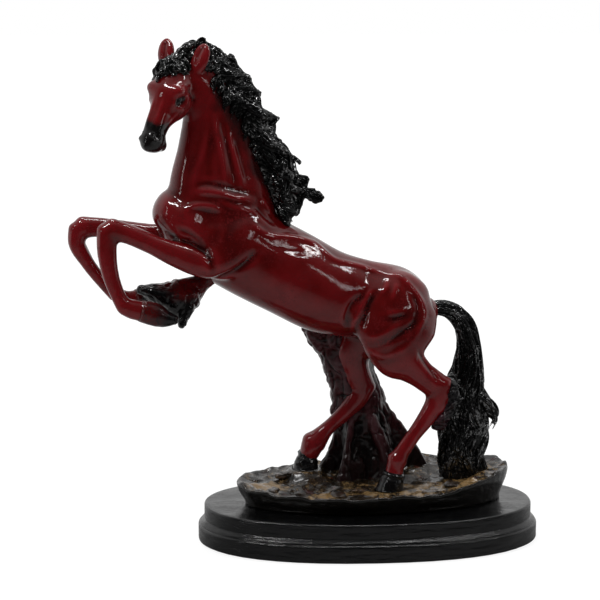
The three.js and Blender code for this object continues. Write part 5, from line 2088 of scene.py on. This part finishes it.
@dataclass
class RockSlab(Tier):
    """The glossy rock under the horse, with stones set in it.

    Attributes:
        flare: How far its foot stands back under its rim.
        centre: Its middle in plan.
        turn: Its turn about the upright.
        tail_rise: How much it rises towards the tail.
        back_rise: How much it rises towards the back.
        ripple: The height of its waves.
        stones: Place and size of each stone.
        gold: Where gold is rubbed on: middle, reach and strength.
    """

    length: float = 161.0
    width: float = 82.0
    square: float = 1.98
    foot: float = 22.3
    top: float = 32.0
    sides: int = 420
    flare: float = 5.0
    centre: Spot = (3.4, 2.5)
    turn: float = math.radians(4.0)
    tail_rise: float = 9.0
    back_rise: float = 1.5
    ripple: float = 0.45
    stones: tuple[Point, ...] = (
        (-55, -12, 4), (-38, -20, 4.5), (-20, -22, 5), (32, -24, 4), (48, -14, 5), (-6, -16, 4),
        (-47, 6, 6),
    )
    gold: tuple[tuple[Spot, Spot, float], ...] = (
        ((-60, -6), (12, 7), 1.1), ((-30, -24), (14, 5), 0.8), ((14, -8), (15, 7), 1.4),
        ((24, -24), (12, 6), 0.9), ((48, -12), (14, 10), 1.3), ((62, 8), (11, 10), 0.9),
        ((-2, -22), (16, 6), 0.7),
    )

    def ring(self, inset: float, share: float = 1.0) -> np.ndarray:
        """Give a ring in plan."""
        c, s = math.cos(self.turn), math.sin(self.turn)
        return self.rim(inset, share) @ np.array(((c, s), (-s, c))) + self.centre

    @staticmethod
    def from_hoof(plan: np.ndarray, limb: Limb) -> np.ndarray:
        """Measure how far points in plan are from a standing hoof."""
        return np.linalg.norm(plan - STAND.place(limb.hoof[-1][:3])[:2], axis=1)

    def height(self, plan: np.ndarray) -> np.ndarray:
        """Read the height of the upper face, as the solid has it."""
        x, y = plan.T
        z = np.full(len(plan), self.top)
        z += 2.2 * smoothstep((self.centre[0] - x) / (self.length / 2), 0.6, 1.0)
        z += self.tail_rise * smoothstep((x - self.centre[0]) / (self.length / 2), 0.3, 1.1)
        z += self.back_rise * smoothstep((y - self.centre[1]) / (self.width / 2), 0, 1)
        z += self.ripple * (np.sin(x * 0.43 + 1.1) * np.sin(y * 0.52 + 0.4) + np.sin(x * 0.19 - y * 0.31))
        for at, rise, reach in (((-31, 18), 6.5, 17.0), ((10, 26), 4.0, 24.0), ((34, 26), 7.0, 15.0)):
            spot = STAND.place((*at, 0))[:2]
            z += rise * np.exp(-((plan - spot) ** 2).sum(1) / reach**2)
        for limb, rise in ((LEFT_HIND, 0.0), (RIGHT_HIND, 7.2)):
            free = smoothstep(self.from_hoof(plan, limb), 9, 14)
            z = self.top + rise + (z - self.top - rise) * free
        return z

    def relief(self, plan: np.ndarray) -> np.ndarray:
        """Read the fine relief of the upper face: lumps, cracks and grit."""
        spot = np.column_stack((plan, np.zeros(len(plan))))
        lumps = 0.9 * Noise(71).fractal(spot, 9.0, 3)
        cracks = -0.7 * np.exp(-((Noise(72).value(spot, 11.0) / 0.09) ** 2))
        grit = 0.25 * Noise(73).fractal(spot, 2.4, 2)
        calm = np.ones(len(plan))
        for limb in (LEFT_HIND, RIGHT_HIND):
            calm *= smoothstep(self.from_hoof(plan, limb), 7.5, 11.5)
        return (lumps + cracks + grit) * calm - 0.15

    def surface(self) -> Surface:
        """Build the rock."""
        around = np.insert(self.oval(80, 40, 2), 2, 0.0, axis=1)
        wobble = 0.9 * Noise(74).fractal(around, 14.0, 3)
        flare, rings = self.flare, []
        for inset, share in (
            (flare, 0.0), (flare * 0.97, 0.1), (flare * 0.8, 0.25), (flare * 0.5, 0.45),
            (flare * 0.22, 0.65), (0.45, 0.8), (0.05, 0.88), (-0.1, 0.93), (0.0, 0.97), (0.3, 1.0),
        ):
            plan = self.ring(inset)
            shift = wobble * smoothstep(share, 0, 0.6) - 0.3
            plan = plan + unit(plan - self.centre) * shift[:, None]
            roof = self.height(plan) + self.relief(plan) * 0.6 + 1.0 * smoothstep(share, 0.8, 0.95)
            rings.append(np.column_stack((plan, self.foot + (roof - self.foot) * share)))
        for share in np.linspace(0.985, 0.02, 84):
            plan = self.ring(0.4, share)
            shift = wobble * share**3 - 0.3 * share
            plan = plan + unit(plan - self.centre) * shift[:, None]
            roof = self.height(plan) + self.relief(plan) + 1.1 * smoothstep(share, 0.94, 0.99)
            rings.append(np.column_stack((plan, roof)))
        return Surface.of_rings(np.array(rings))

    def masks(self, rock: Surface) -> dict[str, np.ndarray]:
        """Mark the black sides of the rock and the places where gold is rubbed on."""
        deep_inside = 200
        ring = np.minimum(np.arange(len(rock.verts)) // self.sides, deep_inside)
        ring[-2:] = (0, deep_inside)
        wander = 1.5 * Noise(75).fractal(rock.verts, 9.0)
        plan = rock.verts[:, :2]
        rub = sum(
            strength * np.exp(-(((plan - spot) / reach) ** 2).sum(1))
            for spot, reach, strength in self.gold
        )
        grit = 0.25 * Noise(76).fractal(rock.verts, 7.0)
        return {"side": 1 - smoothstep(ring + wander, 8, 12), "rub": rub + grit}

    def stone(self, spot: Point, seed: int) -> Surface:
        """Build one stone: a lump with facets worn round."""
        x, y, size = spot
        made = Surface.of_rings(globe(20, 30, 0.03))
        worn = 1 + 0.4 * Noise(seed).fractal(made.verts, 0.9, 2)
        shaped = made.verts * worn[:, None] * (size, size * 0.75, size * 0.32)
        c, s = math.cos(x), math.sin(x)
        turned = shaped @ np.array(((c, s, 0), (-s, c, 0), (0, 0, 1)))
        ground = self.height(np.array(((x, y),)))[0]
        return Surface(turned + (x, y, ground - size * 0.08), made.quads, made.tris)

    def build(self) -> list[Object]:
        """Build the rock and its stones."""
        rock = self.surface()
        slab = rock.to_object("rock_slab", ROCK.build(), self.masks(rock))
        pile = Surface.joined(self.stone(spot, 80 + k) for k, spot in enumerate(self.stones))
        bare = np.zeros(len(pile.verts))
        return [slab, pile.to_object("slab_stones", STONE.build(), {"side": bare, "rub": bare})]


# The studio


@dataclass
class Studio:
    """The camera, the lights, the backdrop and the floor.

    Attributes:
        target: The middle of the view, in millimetres.
        azimuth: The camera's turn about the upright, in degrees.
        elevation: Its height over the level, in degrees.
        distance: Its distance, in millimetres.
        lens: Its focal length.
        fill: The light of the world on dull surfaces.
        lamps: Name, place, size and power of each lamp.
        aim: The point that they shine at.
    """

    target: Point = (-39.7, 0.0, 141.2)
    azimuth: float = -4.0
    elevation: float = 10.0
    distance: float = 1200.0
    lens: float = 125.424
    fill: float = 0.38
    lamps: tuple[tuple[str, Point, Spot, float], ...] = (
        ("key_left", (-0.62, -0.42, 1.1), (0.45, 0.045), 4.6),
        ("top", (0.0, 0.12, 1.15), (0.8, 0.045), 4.8),
        ("fill_right", (0.75, -0.32, 1.0), (0.4, 0.03), 1.8),
        ("rim_left", (-0.95, -0.5, 0.45), (0.02, 0.5), 0.5),
        ("strip_right", (0.85, -0.8, 0.6), (0.018, 0.4), 0.42),
    )
    aim: Point = (-0.04, 0.0, 0.15)

    def build(self) -> None:
        """Set up everything round the statuette."""
        a, e = math.radians(self.azimuth), math.radians(self.elevation)
        back = Vector((math.sin(a) * math.cos(e), -math.cos(a) * math.cos(e), math.sin(e)))
        data = bpy.data.cameras.new("camera")
        data.lens, data.sensor_width, data.clip_start, data.clip_end = self.lens, 36.0, 0.01, 50.0
        camera = link("camera", data)
        self.point_at(camera, (Vector(self.target) + back * self.distance) * MM, -back)
        bpy.context.scene.camera = camera
        bpy.context.scene.view_settings.view_transform = "Standard"
        self.world()
        self.floor()
        for name, place, (width, height), power in self.lamps:
            light = bpy.data.lights.new(name, "AREA")
            light.shape, light.size, light.size_y, light.energy = "RECTANGLE", width, height, power
            self.point_at(link(name, light), Vector(place), Vector(self.aim) - Vector(place))

    @staticmethod
    def point_at(made: Object, place: Vector, way: Vector) -> None:
        """Put a lamp or the camera in its place and turn it to look a way."""
        made.location, made.rotation_mode = place, "QUATERNION"
        made.rotation_quaternion = way.to_track_quat("-Z", "Y")

    @staticmethod
    def seen(tree: Tree) -> tuple[Socket, Socket, Socket]:
        """Tell what the camera sees, straight or through glass, then glossy and diffuse rays."""
        rays = tree.node("ShaderNodeLightPath").outputs
        seen = tree.plus(rays["Is Camera Ray"], rays["Is Transmission Ray"], True)
        return seen, rays["Is Glossy Ray"], rays["Is Diffuse Ray"]

    @staticmethod
    def behind(tree: Tree, where: Socket, reach: Spot, tones: Spot) -> Socket:
        """Grade a tone from the dark studio in front to the lit paper behind and far aside.

        Args:
            tree: The tree that it is added to.
            where: A direction or a place.
            reach: Where the grading starts and ends.
            tones: The tones in front and behind.

        Returns:
            The tone.
        """
        split = tree.node("ShaderNodeSeparateXYZ", {0: where}).outputs
        aside = tree.times(tree.math("ABSOLUTE", split[0]), 0.55)
        return tree.span(tree.plus(split[1], aside), *reach, tones, soft=True)

    def world(self) -> None:
        """Make the world white to the camera and a studio to everything else."""
        world = bpy.data.worlds.new("studio")
        bpy.context.scene.world = world
        world.use_nodes = True
        tree = Tree(world.node_tree)
        where = tree.node("ShaderNodeTexCoord").outputs["Generated"]
        wall = self.behind(tree, where, (0.05, 0.85), (0.02, 0.75))
        up = tree.node("ShaderNodeSeparateXYZ", {0: where}).outputs[2]
        ceiling = tree.span(up, 0.6, 0.97, (0.0, 0.3), soft=True)
        seen, glossy, _ = self.seen(tree)
        shiny = tree.times(glossy, tree.plus(wall, ceiling))
        soft = tree.less(tree.plus(seen, glossy, True))
        strength = tree.plus(tree.plus(seen, shiny), tree.times(soft, self.fill))
        light = tree.node("ShaderNodeBackground", {"Color": rgba(WHITE), "Strength": strength})
        tree.node("ShaderNodeOutputWorld", {"Surface": light.outputs[0]})

    def floor(self) -> None:
        """Make the pale floor, white to the camera, with the statuette's shadow."""
        mesh = bpy.data.meshes.new("floor")
        mesh.from_pydata([(-6, -6, 0), (6, -6, 0), (6, 6, 0), (-6, 6, 0)], [], [(0, 1, 2, 3)])
        material, tree = new_material("floor_white")
        mesh.materials.append(material)
        seen, glossy, diffuse = self.seen(tree)
        where = tree.place()
        far = tree.node("ShaderNodeVectorMath", {0: where}, operation="LENGTH").outputs["Value"]
        near = tree.span(far, 0.2, 0.7, (0.33, 0.02))
        bounced = tree.mix(diffuse, near, rgba((0.75, 0.75, 0.75)))
        shade = tree.mix(seen, bounced, rgba((0.95, 0.95, 0.95)))
        paper = tree.node("ShaderNodeBsdfDiffuse", {"Color": shade}).outputs[0]
        white = tree.node("ShaderNodeEmission", {"Color": rgba(WHITE), "Strength": 1.1}).outputs[0]
        lit = tree.times(self.behind(tree, where, (0.05, 0.5), (0.0, 0.72)), glossy)
        plain = tree.span(far, 0.25, 0.7, (0.8, 1.0))
        share = tree.plus(tree.times(seen, plain), lit, True)
        mixed = tree.node("ShaderNodeMixShader", {0: share, 1: paper, 2: white})
        tree.node("ShaderNodeOutputMaterial", {"Surface": mixed.outputs[0]})
        link("floor", mesh)


def keep(pieces: Iterable[Object], slot: str, *nodes: str) -> None:
    """Hand pieces over to the frame.

    Args:
        pieces: The pieces that stand for the nodes.
        slot: Not used.
        nodes: The solids that they replace.
    """
    for piece in pieces:
        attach(piece, "root")
        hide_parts(*nodes)
        log.info("%s: %d faces, stands for %s", piece.name, len(piece.data.polygons), ", ".join(nodes))


def dress_solids() -> None:
    """Give the solids that stay as they are their finishes."""
    steel, felt = STEEL.build(), FELT.build()
    fixings = ["neck_dowel", "tail_dowel", "plinth_screw_front", "plinth_screw_back"]
    fixings += [f"{name}_wire" for name in LIMBS]
    for name, material in [(n, steel) for n in fixings] + [("felt_sheet", felt)]:
        solid = bpy.data.objects[name]
        solid.data.materials.clear()
        solid.data.materials.append(material)
        log.info("%s: kept, in %s", name, material.name)


def main() -> None:
    """Build the statuette piece by piece."""
    logging.basicConfig(level=logging.INFO, format="%(message)s")
    Studio().build()
    keep([HorseSkin().build()], "red_lacquer", "horse_body", *(f"{name}_leg" for name in LIMBS))
    head, left_eye, right_eye = HorseHead().build()
    keep([head], "red_lacquer", "horse_head")
    keep([left_eye], "eye_black", "left_eye")
    keep([right_eye], "eye_black", "right_eye")
    keep(Mane().build(), "black_lacquer", "mane")
    keep(Forelock().build(), "black_lacquer", "forelock")
    keep(Tail().build(), "black_lacquer", "tail")
    hooves = {
        "left_fore": Hoof(LEFT_FORE.hoof, fade=(0.05, 0.75)),
        "right_fore": Hoof(RIGHT_FORE.hoof, fade=(0.0, 0.5)),
        "left_hind": Hoof(LEFT_HIND.hoof, 32.3),
        "right_hind": Hoof(RIGHT_HIND.hoof, 39.5, rough=0.7),
    }
    for name, hoof in hooves.items():
        keep([hoof.build(f"{name}_hoof_wall")], "black_lacquer", f"{name}_hoof")
    keep([HoofBrace().build()], "black_lacquer", "hoof_brace")
    keep([TreeTrunk().build()], "bark", "tree_trunk")
    keep(RockSlab().build(), "rock", "ground_slab")
    keep([Plinth().build()], "plinth_black", "plinth")
    dress_solids()


if __name__ == "__main__":
    main()
